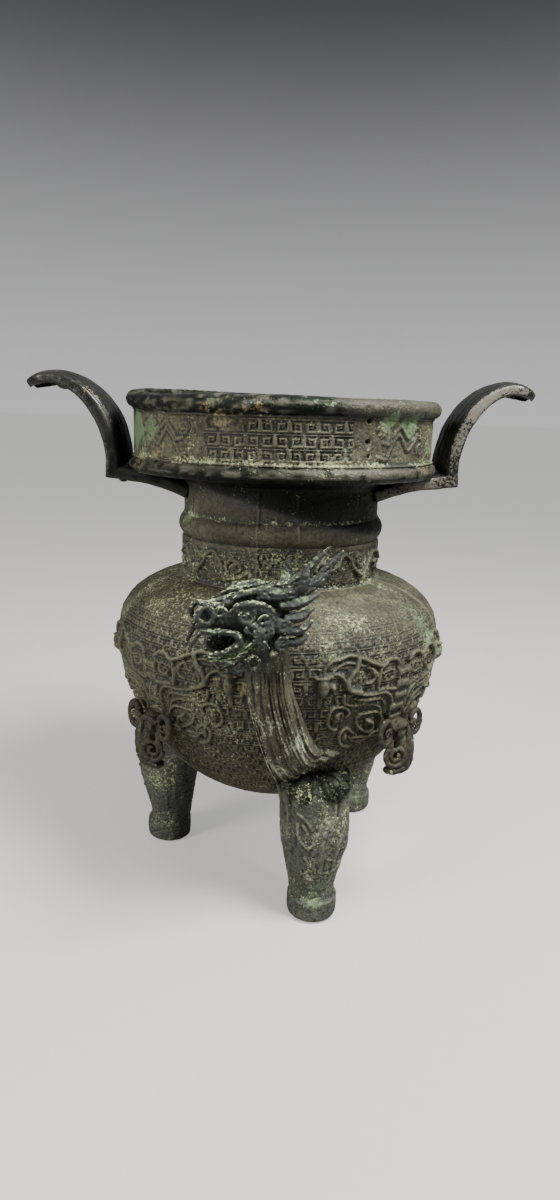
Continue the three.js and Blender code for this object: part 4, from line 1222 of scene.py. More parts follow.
def build_handle(node_name, hand):
    """One strap handle: its section carried along the arm and the rise, mitred at the square corner."""
    share, rise = strap_section().T
    half = sizes().handle_width / MM / 2
    arm = np.linspace(38.6, 0, 46)
    up = np.linspace(0, strap_line(HANDLE_RISE, -1)[2][-1], 96)[1:]
    arm_along = strap_line(HANDLE_ARM, 1)[1][0]
    rise_along = strap_line(HANDLE_RISE, -1)[1][0]
    mitre = np.tan(np.arccos(-arm_along @ rise_along) / 2)
    late = smoothstep(up / up[-1], 0.35, 1.0)
    end = np.sqrt(1 - np.clip((up - up[-1] + 11.5) / 12.2, 0, 1) ** 2)
    thin = np.r_[np.ones(len(arm)), (1 - 0.25 * late) * (0.35 + 0.65 * end)][:, None]
    flare = 1 + 0.12 * np.exp(-((np.r_[arm, up] / 4.0) ** 2))[:, None] * (rise < 0)
    lift = rise[None, :] * thin * flare
    flat = np.vstack([strap_arm(HANDLE_ARM, 1, arm, lift[: len(arm)], mitre),
                      strap_arm(HANDLE_RISE, -1, up, lift[len(arm):], mitre)])
    across = share[None, :] * half * np.r_[np.ones(len(arm)), (1 - 0.19 * late) * end][:, None]
    lean = LEFT_SPREAD if hand < 0 else 0.0
    x = flat[..., 0] + np.maximum(flat[..., 0] - HANDLE_ARM[0][0], 0) * lean
    points = np.stack([hand * x, across, flat[..., 1]], axis=-1)
    rough = 0.5 * skin_roughness(points, 20 + hand) + 0.12 * value_noise(points * [1, 3, 1], 5.0, 15)
    shells = [closed_tube(points + outward(points) * rough[..., None])]
    if hand < 0:
        shells.append(lump((-80.9, -18.6, 215.2), (2.3, 2.0, 1.6)))
        shells.append(lump((-109.5, -15.4, 261.2), (4.6, 3.4, 2.6)))

    # Paler on the right strap's faces turned to the front and higher up, with loose flecks.
    def dust(skin):
        front = 0.86 * smoothstep(-skin.normals[:, 1], 0.55, 0.9)
        high = 0.22 * smoothstep(skin.places[:, 2], 236, 262)
        return (front + high) * (hand > 0) + 0.16 * value_noise(skin.places, 9.0, 12) - 0.16

    def ochre(skin):
        streaks = 0.62 * smoothstep(value_noise(skin.places * [0.25, 3, 0.25], 6.0, 55), 0.05, 0.5)
        return streaks * smoothstep(skin.places[:, 2], 236, 256) * smoothstep(skin.rise, -0.6, 0.2)

    stains = {"dust_and_highlight": dust, "ochre": ochre}
    return make_piece(node_name + "_skin", shells, handle_bronze(), "handle_bronze", [node_name], stains)


# ---------------------------------------------------------------- bars, lumps, loops and coils


def bar(path, radii, sides=12, flat=1.0, hint=(0.0, 1.0, 0.0), flutes=0, depth=0.0, steps=6):
    """A closed bar along a smooth path: circles square to it, of radii spread evenly along it, squashed
    by flat and fluted by radius x (1 + depth cos(flutes x angle))."""
    line = smooth_line(path, steps)
    lengths = np.r_[0, np.cumsum(np.linalg.norm(np.diff(line, axis=0), axis=1))]
    radius = np.interp(lengths / lengths[-1], np.linspace(0, 1, len(radii)), radii)
    along = np.gradient(line, axis=0)
    side = np.cross(hint, along)
    side /= np.linalg.norm(side, axis=1, keepdims=True)
    up = np.cross(along, side)
    up /= np.linalg.norm(up, axis=1, keepdims=True)
    angle = np.arange(sides) / sides * 2 * np.pi
    reach = radius[:, None] * (1 + depth * np.cos(flutes * angle))
    points = line[:, None] + side[:, None] * (reach * np.cos(angle))[..., None]
    return closed_tube(points + up[:, None] * (flat * reach * np.sin(angle))[..., None])


def lump(centre, radii, axes=((1, 0, 0), (0, 1, 0), (0, 0, 1)), rings=13, sides=18):
    """A closed ellipsoid with the given half lengths along three axes."""
    down = np.linspace(0.06, np.pi - 0.06, rings)[:, None]
    angle = (np.arange(sides) / sides * 2 * np.pi)[None, :]
    unit = np.stack([np.sin(down) * np.cos(angle), np.sin(down) * np.sin(angle), np.cos(down) + 0 * angle],
                    axis=-1)
    return closed_tube(np.asarray(centre) + (unit * radii) @ np.asarray(axes, float))


def loop(centre, across, up, wide, high, radius, sides=10):
    """A closed ring bent along an ellipse in the plane of across and up."""
    centre, across, up = (np.asarray(v, float) for v in (centre, across, up))
    turn = (np.arange(36) / 36 * 2 * np.pi)[:, None, None]
    angle = (np.arange(sides) / sides * 2 * np.pi)[None, :, None]
    thick = radius * np.cos(angle)
    out = across * np.cos(turn) * (wide + thick) + up * np.sin(turn) * (high + thick)
    return closed_turn(centre + out + np.cross(across, up) * radius * np.sin(angle))


def coil(centre, across, up, size, radius, turns=1.6, start=0.0, hand=1):
    """A bar wound in a flat spiral in the plane of across and up."""
    flat = spiral_line((0, 0), size, turns, start, hand)
    path = np.asarray(centre) + flat[:, :1] * np.asarray(across, float) + flat[:, 1:] * np.asarray(up, float)
    return bar(path, (radius * 0.8, radius, radius), 8, hint=np.cross(across, up), steps=1)


def fused_piece(name, shells, voxel, rounds, relief, *finish):
    """Overlapping shells joined into one closed skin by a voxel remesh, eased, then given its relief,
    a height in millimetres for each place."""
    rough = bpy.data.meshes.new(name)
    fill_mesh(rough, *merged(shells))
    holder = bpy.data.objects.new(name, rough)
    bpy.context.scene.collection.objects.link(holder)
    fuse = holder.modifiers.new("fuse", "REMESH")
    fuse.mode = "VOXEL"
    fuse.voxel_size = voxel * MM
    mesh = bpy.data.meshes.new_from_object(holder.evaluated_get(bpy.context.evaluated_depsgraph_get()))
    holder.modifiers.clear()
    holder.data = mesh
    bpy.data.meshes.remove(rough)
    places = eased(mesh_places(mesh), edge_pairs(mesh), rounds)
    set_places(mesh, places)
    set_places(mesh, places + mesh_normals(mesh) * relief(places)[:, None])
    mesh.polygons.foreach_set("use_smooth", np.ones(len(mesh.polygons), bool))
    return finish_piece(holder, *finish)


# ---------------------------------------------------------------- legs

# A leg's outline from the sole up: height, radius and how far it stands out from the foot's centre.
LEG_STATIONS = np.array([(0, 11.0, 0.2), (1.8, 12.7, 0.4), (6, 13.0, 0.4), (10.8, 12.8, 0.3),
                         (12.8, 12.2, -0.4), (17, 11.9, -0.9), (24, 13.2, -0.5), (32, 14.9, 0),
                         (45, 17.2, 0.5), (60, 17.4, -1), (70, 17.7, -2.8), (74, 17.0, -4.0),
                         (77.3, 13.6, -6.4)])
# Raised lines on a leg's outer face, as (millimetres sideways, height).
FRONT_LEG_LINES = [
    [(-13.3, 62), (-9.7, 59), (-6.8, 54.5), (-6.1, 49), (-8.3, 45), (-11.5, 47.5), (-13.8, 52), (-13.6, 57)],
    [(-11, 56), (-9.2, 53), (-10, 49.6)], [(3.2, 74), (3.6, 68), (4.7, 63), (3.4, 57), (2.4, 52)],
    [(-1.6, 72), (-1.4, 64), (-2.4, 58), (-3.6, 54)],
    [(8.6, 72), (9.4, 66), (9.8, 60), (12, 55.4), (9, 49.6), (6.1, 44.6)],
    [(-3.2, 54), (0, 50.6), (3, 47), (6.1, 44)], [(14, 60), (15, 52), (13, 44), (11, 38)],
    [(-10.4, 40), (-6.8, 34), (-1, 29.8), (5.5, 30), (10.8, 34)], [(-12.4, 30), (-8, 26), (-2, 24.6)],
    [(1.5, 38), (5, 36), (4, 33), (1, 34.4)],
]
LEG_INSET = 0.4         # from the middle of a leg's box to the line its outline is measured from
SIDE_LEG_LINES = [
    spiral_line((2.0, 66.0), 4.6, 1.7, 0.6, 1), [(6.5, 67), (9.5, 60), (8, 52), (5.4, 45)],
    [(-4, 62), (-7, 55), (-5.6, 47), (-1, 42)], [(-9, 38), (-5, 33), (0, 31), (6, 33)],
]


def build_leg(node_name, lines):
    """A hoofed leg where the solid one stands: an outline of circles, carved on its outer face, ragged
    at the top."""
    low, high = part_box(node_name)
    middle = np.array([low.x + high.x, low.y + high.y]) / 2 / MM - AXIS[:2]
    azimuth = np.degrees(np.arctan2(middle[0], -middle[1]))
    distance = np.hypot(*middle) + LEG_INSET
    z = np.linspace(0, 77.3, 170)
    outline = resample(smooth_line(LEG_STATIONS, 8), 400)
    radius, stand = (np.interp(z, outline[:, 0], outline[:, k])[:, None] for k in (1, 2))
    angle = (np.arange(132) / 132 * 2 * np.pi - np.pi)[None, :]
    side = angle * 16.5
    up = z[:, None] + 0 * side
    side = side + 0 * up
    turn = np.radians(azimuth)
    out = np.array([np.sin(turn), -np.cos(turn), 0])
    across = np.array([np.cos(turn), np.sin(turn), 0])
    flat = np.stack([side, 0 * side + distance, up], axis=-1)
    carved = raised(side, up, [smooth_line(line, 5) for line in lines], 0.9, 1.3)
    worn = 0.35 + 0.65 * smoothstep(rough_noise(flat, 14.0, 300 + int(azimuth)), -0.6, 0.5)
    cuff = 0.5 * smoothstep(up, 11.0, 12.2) * (1 - smoothstep(up, 12.4, 15.0))
    slit = -1.0 * (1 - smoothstep(np.hypot((side + 2.5) / 4.5, (up - 14.0 - 0.12 * side) / 0.9), 0.3, 1.1))
    scallop = 0.5 * np.sin(angle * 9 + 0.6) * smoothstep(up, 66, 74)
    streaks = 0.55 * value_noise(flat * [1, 1, 0.14], 2.0, 44) * smoothstep(up, 16, 30)
    streaks = streaks + 1.5 * np.abs(np.sin(side * 0.55 + 0.1 * up)) * smoothstep(up, 60, 70)
    relief = carved * worn - cuff + slit + scallop + streaks + 1.1 * skin_roughness(flat, 30) - 0.2
    reach = radius + relief
    top = smoothstep(z, 66, 75)[:, None] * 2.6 * value_noise(flat, 3.6, 17)
    outward_part = out * (distance + stand + reach * np.cos(angle))[..., None]
    points = outward_part + across * (reach * np.sin(angle))[..., None]
    points[..., 2] = np.clip(up + top, 0, 77.4)
    return make_piece(node_name + "_skin", [closed_tube(points)], leg_bronze(), "leg_bronze", [node_name],
                      LEG_STAINS)


def leg_green(skin):
    """Verdigris in patches, and in a band above the hoof."""
    band = 1 - smoothstep(np.abs(skin.places[:, 2] - 15), 3, 9)
    return 0.55 * smoothstep(value_noise(skin.places, 13.0, 19), 0.0, 0.7) + 0.22 * band


def leg_painted_shade(skin):
    """Painted shade along the ragged joint under the belly's overhang and in the hollows."""
    ragged = skin.places[:, 2] + 5 * value_noise(skin.places, 4.0, 5)
    return 0.95 * smoothstep(ragged, 64, 73) + 0.5 * smoothstep(-skin.rise, 0.2, 0.8)


LEG_STAINS = {
    "green": leg_green,
    "soot_and_shade": leg_painted_shade,
    "ochre": lambda skin: 0.34 * smoothstep(value_noise(skin.places, 11.0, 23), 0.2, 0.7),
    "dust_and_highlight": lambda skin: 0.07 + 0.20 * value_noise(skin.places * [1, 1, 0.3], 6.0, 29),
}


# ---------------------------------------------------------------- beast heads

BEAST_RADIUS = 84.0
BEAST_AZIMUTH = 46.5    # degrees from the front to either head


def build_beast_head(node_name, azimuth):
    """A small beast head below a mask: loop ears, browed eyes, and a trunk with a coil on either side
    that ends in a flat lip. Places are (sideways, radius, height)."""
    turn = np.radians(azimuth)
    across = np.array([np.cos(turn), np.sin(turn), 0.0])
    out = np.array([np.sin(turn), -np.cos(turn), 0.0])
    up = np.array([0.0, 0.0, 1.0])

    def place(*spots):
        side, radius, z = np.array(spots, float).T
        return side[:, None] * across + (BEAST_RADIUS + radius)[:, None] * out + z[:, None] * up

    axes = (across, out, up)
    shells = [
        lump(place((0, -0.5, 98.5))[0], (7.6, 6.0, 6.6), axes),
        bar(place((0, -1, 98), (0, 1.4, 92), (0, 1.2, 86), (0, 0.6, 80.5)), (6.0, 6.6, 6.2, 5.8), 20, 0.8,
            across),
        lump(place((0, 0.9, 78.6))[0], (9.2, 5.0, 1.9), axes),
        bar(place((0, 5.4, 102.6), (0, 6.6, 97), (0, 7.0, 91), (0, 6.0, 84), (0, 5.0, 80)),
            (1.6, 1.5, 2.0, 1.8, 2.4), 10, hint=across),
        bar(place((-8.6, 3.4, 79.8), (0, 6.2, 80.6), (8.6, 3.4, 79.8)), (0.8, 1.1, 0.8), 8, hint=up),
    ]
    for hand in (1, -1):
        shells += [
            loop(place((hand * 12.4, 1.6, 100.4))[0], across, up, 4.2, 6.0, 1.7),
            coil(place((hand * 12.0, 2.6, 100.2))[0], across, up, 2.6, 0.8, 1.1, 0.5, hand),
            bar(place((hand * 0.8, 6.4, 103.4), (hand * 4.4, 6.2, 104.4), (hand * 8.2, 3.4, 101.6)),
                (1.2, 1.7, 1.2), 8, hint=up),
            lump(place((hand * 4.3, 5.3, 99.8))[0], (1.7, 1.3, 1.6), axes),
            loop(place((hand * 4.3, 5.2, 99.8))[0], across, up, 2.3, 2.1, 0.55, 6),
            coil(place((hand * 6.4, 4.6, 88.0))[0], 0.86 * across - 0.5 * hand * out, up, 6.2, 1.25, 1.8, 1.2,
                 hand),
            bar(place((hand * 7.4, 1.8, 96), (hand * 8.8, 2.2, 92.4), (hand * 9.6, 1.4, 88)), (1.6, 1.9, 1.4),
                8, hint=up),
        ]

    # Dust and painted highlight: the crests made pale, with loose flecks.
    def dust(skin):
        return 0.62 * smoothstep(skin.rise, 0.05, 0.7) + 0.26 * value_noise(skin.places, 3.0, 14) - 0.08

    stains = {
        "dust_and_highlight": dust,
        "green": lambda skin: 0.50 * smoothstep(value_noise(skin.places, 9.0, 37), -0.1, 0.6),
        # Painted shade in the beast head's hollows.
        "soot_and_shade": lambda skin: 0.85 * smoothstep(-skin.rise, 0.1, 0.6),
    }

    def relief(places):
        return 0.8 * skin_roughness(places, 50) + 0.15 * value_noise(places * [1, 1, 0.4], 1.8, 66)

    return fused_piece(node_name + "_skin", shells, 0.38, 1, relief, beast_bronze(), "ornament_bronze",
                       [node_name], stains, 6, 0.45)


# ---------------------------------------------------------------- dragon

# The neck's climb: azimuth, height on the belly, half width, and how high it stands.
DRAGON_CLIMB = np.array([(12.5, 78.5, 20.0, 2.6), (9.6, 82.5, 16.8, 5.4), (7.2, 87.5, 14.2, 7.6),
                         (4.4, 96, 12.6, 8.8), (1.2, 110, 11.6, 9.6), (-1.5, 124, 10.8, 9.4),
                         (-2.6, 136, 10.2, 9.8), (-2.8, 145, 9.5, 12.0)])


def build_dragon_neck():
    """The dragon's neck up the belly: a fluted swell laid along the skin, spread to a scalloped skirt at
    its foot, with a throat that rises free of the belly under the head."""
    path = resample(smooth_line(DRAGON_CLIMB, 10), 190)
    share = np.linspace(-1, 1, 121)[None, :]
    length = np.linspace(0, 1, len(path))[:, None]
    mid_az, mid_z, half, height = (path[:, k : k + 1] for k in range(4))
    scale = np.radians(1) * belly_radius(mid_z)
    slope = np.gradient(belly_radius(mid_z[:, 0]), mid_z[:, 0])[:, None]
    run = np.gradient(np.hstack([mid_az * scale, mid_z * np.hypot(1, slope)]), axis=0)
    run /= np.linalg.norm(run, axis=1, keepdims=True)
    skirt = 1 - smoothstep(length, 0.0, 0.12)
    edge = 1 + skirt * 0.06 * np.sin(share * 14)
    azimuth = mid_az + share * half * edge * run[:, 1:] / scale
    z = mid_z - share * half * edge * run[:, :1] / np.hypot(1, slope)
    z = z - skirt * 1.3 * np.abs(np.sin(share * 8 + 0.4))
    swell = (1 - np.abs(share) ** 2.6) ** 0.62
    flutes = 0
    for middle, breadth, rise in ((-0.86, 0.10, 0.9), (-0.62, 0.08, -1.1), (-0.30, 0.09, -0.9),
                                  (0.02, 0.08, -1.0), (0.32, 0.08, -1.2), (0.60, 0.09, 0.9),
                                  (0.80, 0.07, -1.1), (0.92, 0.05, 0.7)):
        flutes = flutes + rise * np.exp(-((share + 0.10 * np.sin(5 * length) - middle) / breadth) ** 2)
    strands = smoothstep(share, -0.2, 0.0) * (1 - smoothstep(share, 0.68, 0.78))
    strands = strands + (1 - smoothstep(share, -0.8, -0.7))
    flutes = flutes + 0.38 * strands * np.cos(46 * (share + 0.05 * np.sin(4 * length)))
    angle = np.radians(azimuth)
    base_radius = belly_radius(z)
    bend = np.gradient(belly_radius(np.array([60, 70, 80, 90, 100, 110, 120, 130, 140, 150.0])), 10.0)
    lean = np.interp(z, np.arange(60, 151, 10), bend)
    normal = np.stack([np.sin(angle), -np.cos(angle), -lean], axis=-1)
    normal /= np.linalg.norm(normal, axis=-1, keepdims=True)
    skin = np.stack([base_radius * np.sin(angle), -base_radius * np.cos(angle), z], axis=-1)
    foot = smoothstep(length, 0.0, 0.05)
    lift = (height * swell + flutes * smoothstep(1 - np.abs(share), 0.02, 0.1) * foot) - 1.2
    unrolled = np.stack([share * 30 + 0 * z, length * 30 + 0 * z, 0 * z], -1)
    rough = 1.2 * skin_roughness(skin, 70) + 0.25 * value_noise(unrolled, 1.6, 77)
    top = skin + normal * (lift * np.maximum(foot, 0.25) + rough)[..., None]
    low = skin[:, ::-1] - normal[:, ::-1] * 2.2
    shells = [closed_tube(np.concatenate([top, low[:, ::4]], axis=1))]
    throat = [(-3.0, -74, 134), (-3.4, -84, 141), (-3.8, -89.5, 147), (-4.2, -93, 154)]
    shells.append(bar(throat, (9.5, 9.8, 9.4, 8.6), 60, 0.95, (1, 0, 0), 11, 0.05, 10))

    def dust(skin):
        low = 1 - smoothstep(skin.places[:, 2], 112, 138)
        streaks = 0.16 * value_noise(skin.places * [1, 1, 0.25], 1.8, 24)
        clouds = 0.18 * value_noise(skin.places, 6.0, 27)
        return (0.20 + 0.26 * smoothstep(skin.rise, -0.1, 0.5)) * low + streaks + clouds - 0.04

    # Darker towards the top under the head, and painted shade in the hollows.
    def soot_and_shade(skin):
        return 0.55 * smoothstep(skin.places[:, 2], 124, 142) + 0.3 * smoothstep(-skin.rise, 0.2, 0.8)

    stains = {
        "dust_and_highlight": dust,
        "green": lambda skin: 0.35 * smoothstep(value_noise(skin.places, 15.0, 12), 0.0, 0.6),
        "soot_and_shade": soot_and_shade,
        "ochre": lambda skin: 0.25 * smoothstep(value_noise(skin.places, 12.0, 90), 0.1, 0.7),
    }
    return make_piece("dragon_neck", shells, streaked_bronze(), "body_bronze", ["vessel"], stains, 8, 0.5)


HEAD_AT = np.array([-5.0, -97.5, 164.0])
HEAD_ALONG = np.array([-0.93, -0.36, 0.0])
HEAD_NEAR = np.array([0.36, -0.93, 0.0])


def head_places(spots):
    """Places from (forward, towards the viewer, up) about the middle of the dragon's head."""
    forward, near, rise = np.array(spots, float).T
    return HEAD_AT + forward[:, None] * HEAD_ALONG + near[:, None] * HEAD_NEAR + rise[:, None] * [0, 0, 1]


def head_bar(spots, radii, sides=10, flat=1.0, **more):
    return bar(head_places(spots), radii, sides, flat, tuple(HEAD_NEAR), **more)


def head_spot(forward, near, rise):
    return head_places([(forward, near, rise)])[0]


UP = np.array([0, 0, 1.0])
HEAD_AXES = (HEAD_ALONG, HEAD_NEAR, UP)


def head_side(hand):
    """Everything on one side of the dragon's head: nostril, lip, eye, brow, horn, locks, wires and chin."""
    shells = [
        loop(head_spot(28.4, hand * 5.4, 4.8), HEAD_ALONG, UP, 3.3, 3.4, 1.25),
        coil(head_spot(22.4, hand * 5.9, 5.8), HEAD_ALONG, UP, 2.7, 0.95, 1.5, 0.6, 1),
        head_bar([(30, hand * 2.2, 9.2), (25, hand * 3, 8.4), (19, hand * 3.6, 8.8), (12, hand * 4.4, 11.2),
                  (5, hand * 5.2, 13.8)],
                 (1.2, 1.5, 1.4, 1.6, 1.0)),
        head_bar([(31.6, hand * 3, 0.6), (28.6, hand * 5.0, -1.8), (22, hand * 6.0, -2.4),
                  (16.6, hand * 6.8, -3.2), (14, hand * 7.2, -6.2), (15.6, hand * 7.0, -9.4),
                  (20, hand * 6.2, -11.2), (26, hand * 4.0, -12.6)], (1.3, 1.4, 1.4, 1.7, 1.8, 1.4, 0.9)),
        head_bar([(30.4, hand * 4.6, -2.2), (33.0, hand * 4.2, -6.4), (34.6, hand * 3.4, -11.0)],
                 (1.3, 1.0, 0.4)),
        lump(head_spot(11.6, hand * 8.0, 4.6), (2.6, 1.8, 2.3), HEAD_AXES),
        loop(head_spot(11.6, hand * 8.7, 4.6), HEAD_ALONG, UP, 3.5, 3.0, 0.8, 8),
        head_bar([(18.5, hand * 6.2, 5.2), (16, hand * 8.4, 8.6), (10.6, hand * 9.3, 9.8),
                  (4.4, hand * 9.6, 8.6), (0, hand * 10, 5.4)],
                 (0.8, 1.3, 1.5, 1.4, 0.9)),
        head_bar([(17, hand * 5.8, 11), (11, hand * 6.8, 13.6), (3, hand * 7.0, 14.8),
                  (-4, hand * 6.6, 13.6)], (1.0, 1.6, 1.8, 1.2)),
        coil(head_spot(4.6, hand * 9.4, 2.0), HEAD_ALONG, UP, 2.9, 0.85, 1.5, 1.0, 1),
        coil(head_spot(9.8, hand * 8.6, -2.2), HEAD_ALONG, UP, 2.4, 0.8, 1.4, 2.2, -1),
        head_bar([(7, hand * 6.4, 12.6), (-3.4, hand * 7.4, 11.9), (-11, hand * 7.6, 13),
                  (-20.4, hand * 7.0, 17.2), (-25.4, hand * 6.6, 23.4), (-32.3, hand * 6.2, 29.6)],
                 (2.2, 2.6, 2.7, 2.5, 1.9, 0.8), 20, flutes=6, depth=0.13),
        head_bar([(-9, hand * 8.6, 12), (-12.4, hand * 9.8, 16), (-13.4, hand * 10.2, 20.4),
                  (-13.2, hand * 10.2, 25.4)],
                 (2.0, 2.7, 2.2, 0.8), flat=0.7),
        lump(head_spot(-3.9, hand * 9.0, -0.8), (3.4, 1.8, 3.4), HEAD_AXES),
        coil(head_spot(-3.9, hand * 10.8, -0.8), HEAD_ALONG, UP, 3.4, 0.9, 1.6, 0.4, 1),
        lump(head_spot(-4.0, hand * 8.4, -7.9), (3.2, 1.8, 3.2), HEAD_AXES),
        coil(head_spot(-4.0, hand * 10.2, -7.9), HEAD_ALONG, UP, 3.2, 0.85, 1.6, 2.0, -1),
        lump(head_spot(-1.0, hand * 8.4, -13.4), (2.0, 1.7, 2.0), HEAD_AXES),
        loop(head_spot(13.8, hand * 4.8, -17.6), HEAD_ALONG, UP, 3.0, 3.3, 1.05),
        loop(head_spot(7.4, hand * 5.6, -17.4), HEAD_ALONG, UP, 2.4, 2.9, 0.9),
    ]
    for lock in (((-3, 8, 7.4), (-11, 10.2, 8.6), (-21, 9.0, 12.4)),
                 ((-5, 9, 2.4), (-11, 10.4, 2.8), (-18.6, 9, 6.4)),
                 ((-6, 9, -3.2), (-11.6, 10.2, -3.0), (-18.0, 9, 0.6)),
                 ((-6, 8, -8.0), (-11, 9.4, -8.2), (-16.6, 8.4, -5.2))):
        shells.append(head_bar(np.array(lock) * [1, hand, 1], (1.7, 2.1, 0.6), 12, flutes=4, depth=0.12,
                               steps=8))
    for k in range(9):
        sway = 2.4 * np.sin(1.9 * k + 0.4)
        wire = [(12.5 - 1.7 * k + sway, hand * 8.6, 2.8 - 0.4 * k),
                (7.5 - 0.7 * k - sway, hand * 9.8, -3.4 + 0.5 * np.cos(2 * k)),
                (10.5 - 1.3 * k + 1.4 * sway, hand * 8.2, -10.0 + 0.5 * k)]
        shells.append(head_bar(wire, (0.65, 0.85, 0.5), 6))
    for k in range(7):
        strand = [(10 + 0.7 * k, hand * 5.8, -11.8 - 0.6 * k), (17 + 0.5 * k, hand * 5.6, -14.6 - 0.55 * k),
                  (26.5 - 1.5 * k, hand * 3.6, -15.4 - 0.6 * k)]
        shells.append(head_bar(strand, (0.8, 0.75, 0.4), 6))
    for k in range(6):
        tuft = [(21 - 3.6 * k, hand * 4.8, 7.8 + 0.9 * k), (18.6 - 3.6 * k, hand * 3.6, 11.8 + 0.5 * k),
                (15 - 3.6 * k, hand * 3.2, 13.8 + 0.4 * k)]
        shells.append(head_bar(tuft, (0.8, 1.1, 0.5), 6))
    return shells


def build_dragon_head():
    """The dragon's head: ringed nostrils, an open mouth with its gullet painted dark as shade, browed eyes,
    wiry cheeks, horns and swept locks, fused into one casting; its hollows carry painted shade."""
    shells = [
        head_bar([(-9, 0, 1), (-3, 0, 1), (4, 0, 2), (10, 0, 3.2), (15, 0, 2.8)], (6, 9.2, 9.8, 8.4, 5.8), 24,
                 0.86),
        head_bar([(12, 0, 3.2), (18, 0, 1.8), (24, 0, 2.0), (28, 0, 3.6), (30.4, 0, 5.2)],
                 (6.6, 5.5, 4.8, 4.4, 3.0), 20, 0.95),
        head_bar([(3, 0, -8), (9, 0, -12), (16, 0, -14.6), (22, 0, -15.4), (26.0, 0, -15.0)],
                 (6.2, 3.8, 2.5, 2.0, 1.2), 18, 1.7),
        head_bar([(1, -2, -5), (0, -3, -11), (-1, -5, -16)], (9.0, 8.6, 7.8), 24),
        lump(head_spot(17.4, 0, -7.5), (10.2, 3.2, 6.6), HEAD_AXES),
        *head_side(1), *head_side(-1),
    ]

    # Where the mouth opens: the gullet is painted dark there as shade.
    def mouth(skin):
        forward, near, rise = ((skin.places - HEAD_AT) @ np.array(HEAD_AXES).T).T
        away = np.hypot((forward - 19) / 9.0, (rise + 7.5) / 5.2)
        return (1 - smoothstep(away, 0.75, 1.1)) * (1 - smoothstep(np.abs(near), 4.0, 5.4))

    # Dust and painted highlight: crests and upward faces made pale as if lit from above, more towards the
    # snout, with flecks; none in the mouth.
    def pale(skin):
        forward = (skin.places - HEAD_AT) @ HEAD_ALONG
        tops = smoothstep(skin.rise, 0.0, 0.6) * smoothstep(skin.normals[:, 2], -0.3, 0.6)
        front = 0.45 + 0.55 * smoothstep(forward, -6, 12)
        flecks = 0.22 * value_noise(skin.places, 4.0, 18)
        upward = 0.26 * smoothstep(skin.normals[:, 2], 0.2, 0.9)
        return 1.15 * tops * front + upward + flecks - 0.16 - mouth(skin)

    def green(skin):
        patches = 0.75 * smoothstep(value_noise(skin.places, 7.0, 39), -0.2, 0.5)
        return patches * smoothstep(skin.normals[:, 2], -0.4, 0.5)

    stains = {
        "dust_and_highlight": pale,
        "green": green,
        # Painted shade in the head's hollows and a painted dark gullet in the mouth.
        "soot_and_shade": lambda skin: np.maximum(0.9 * smoothstep(-skin.rise, -0.1, 0.45), mouth(skin)),
        "ochre": spots((-0.8, 151, 2.2, 0.55)),
    }

    def relief(places):
        wrinkles = 1 - smoothstep(np.abs(value_noise(places * [0.7, 0.7, 1.2], 3.4, 93)), 0.0, 0.14)
        return 0.8 * skin_roughness(places, 90) + 0.25 * value_noise(places, 1.4, 97) - 0.35 * wrinkles

    return fused_piece("dragon_head_skin", shells, 0.4, 1, relief, ornament_bronze(), "ornament_bronze",
                       ["dragon_head"], stains, 6, 0.5)


# ---------------------------------------------------------------- stage


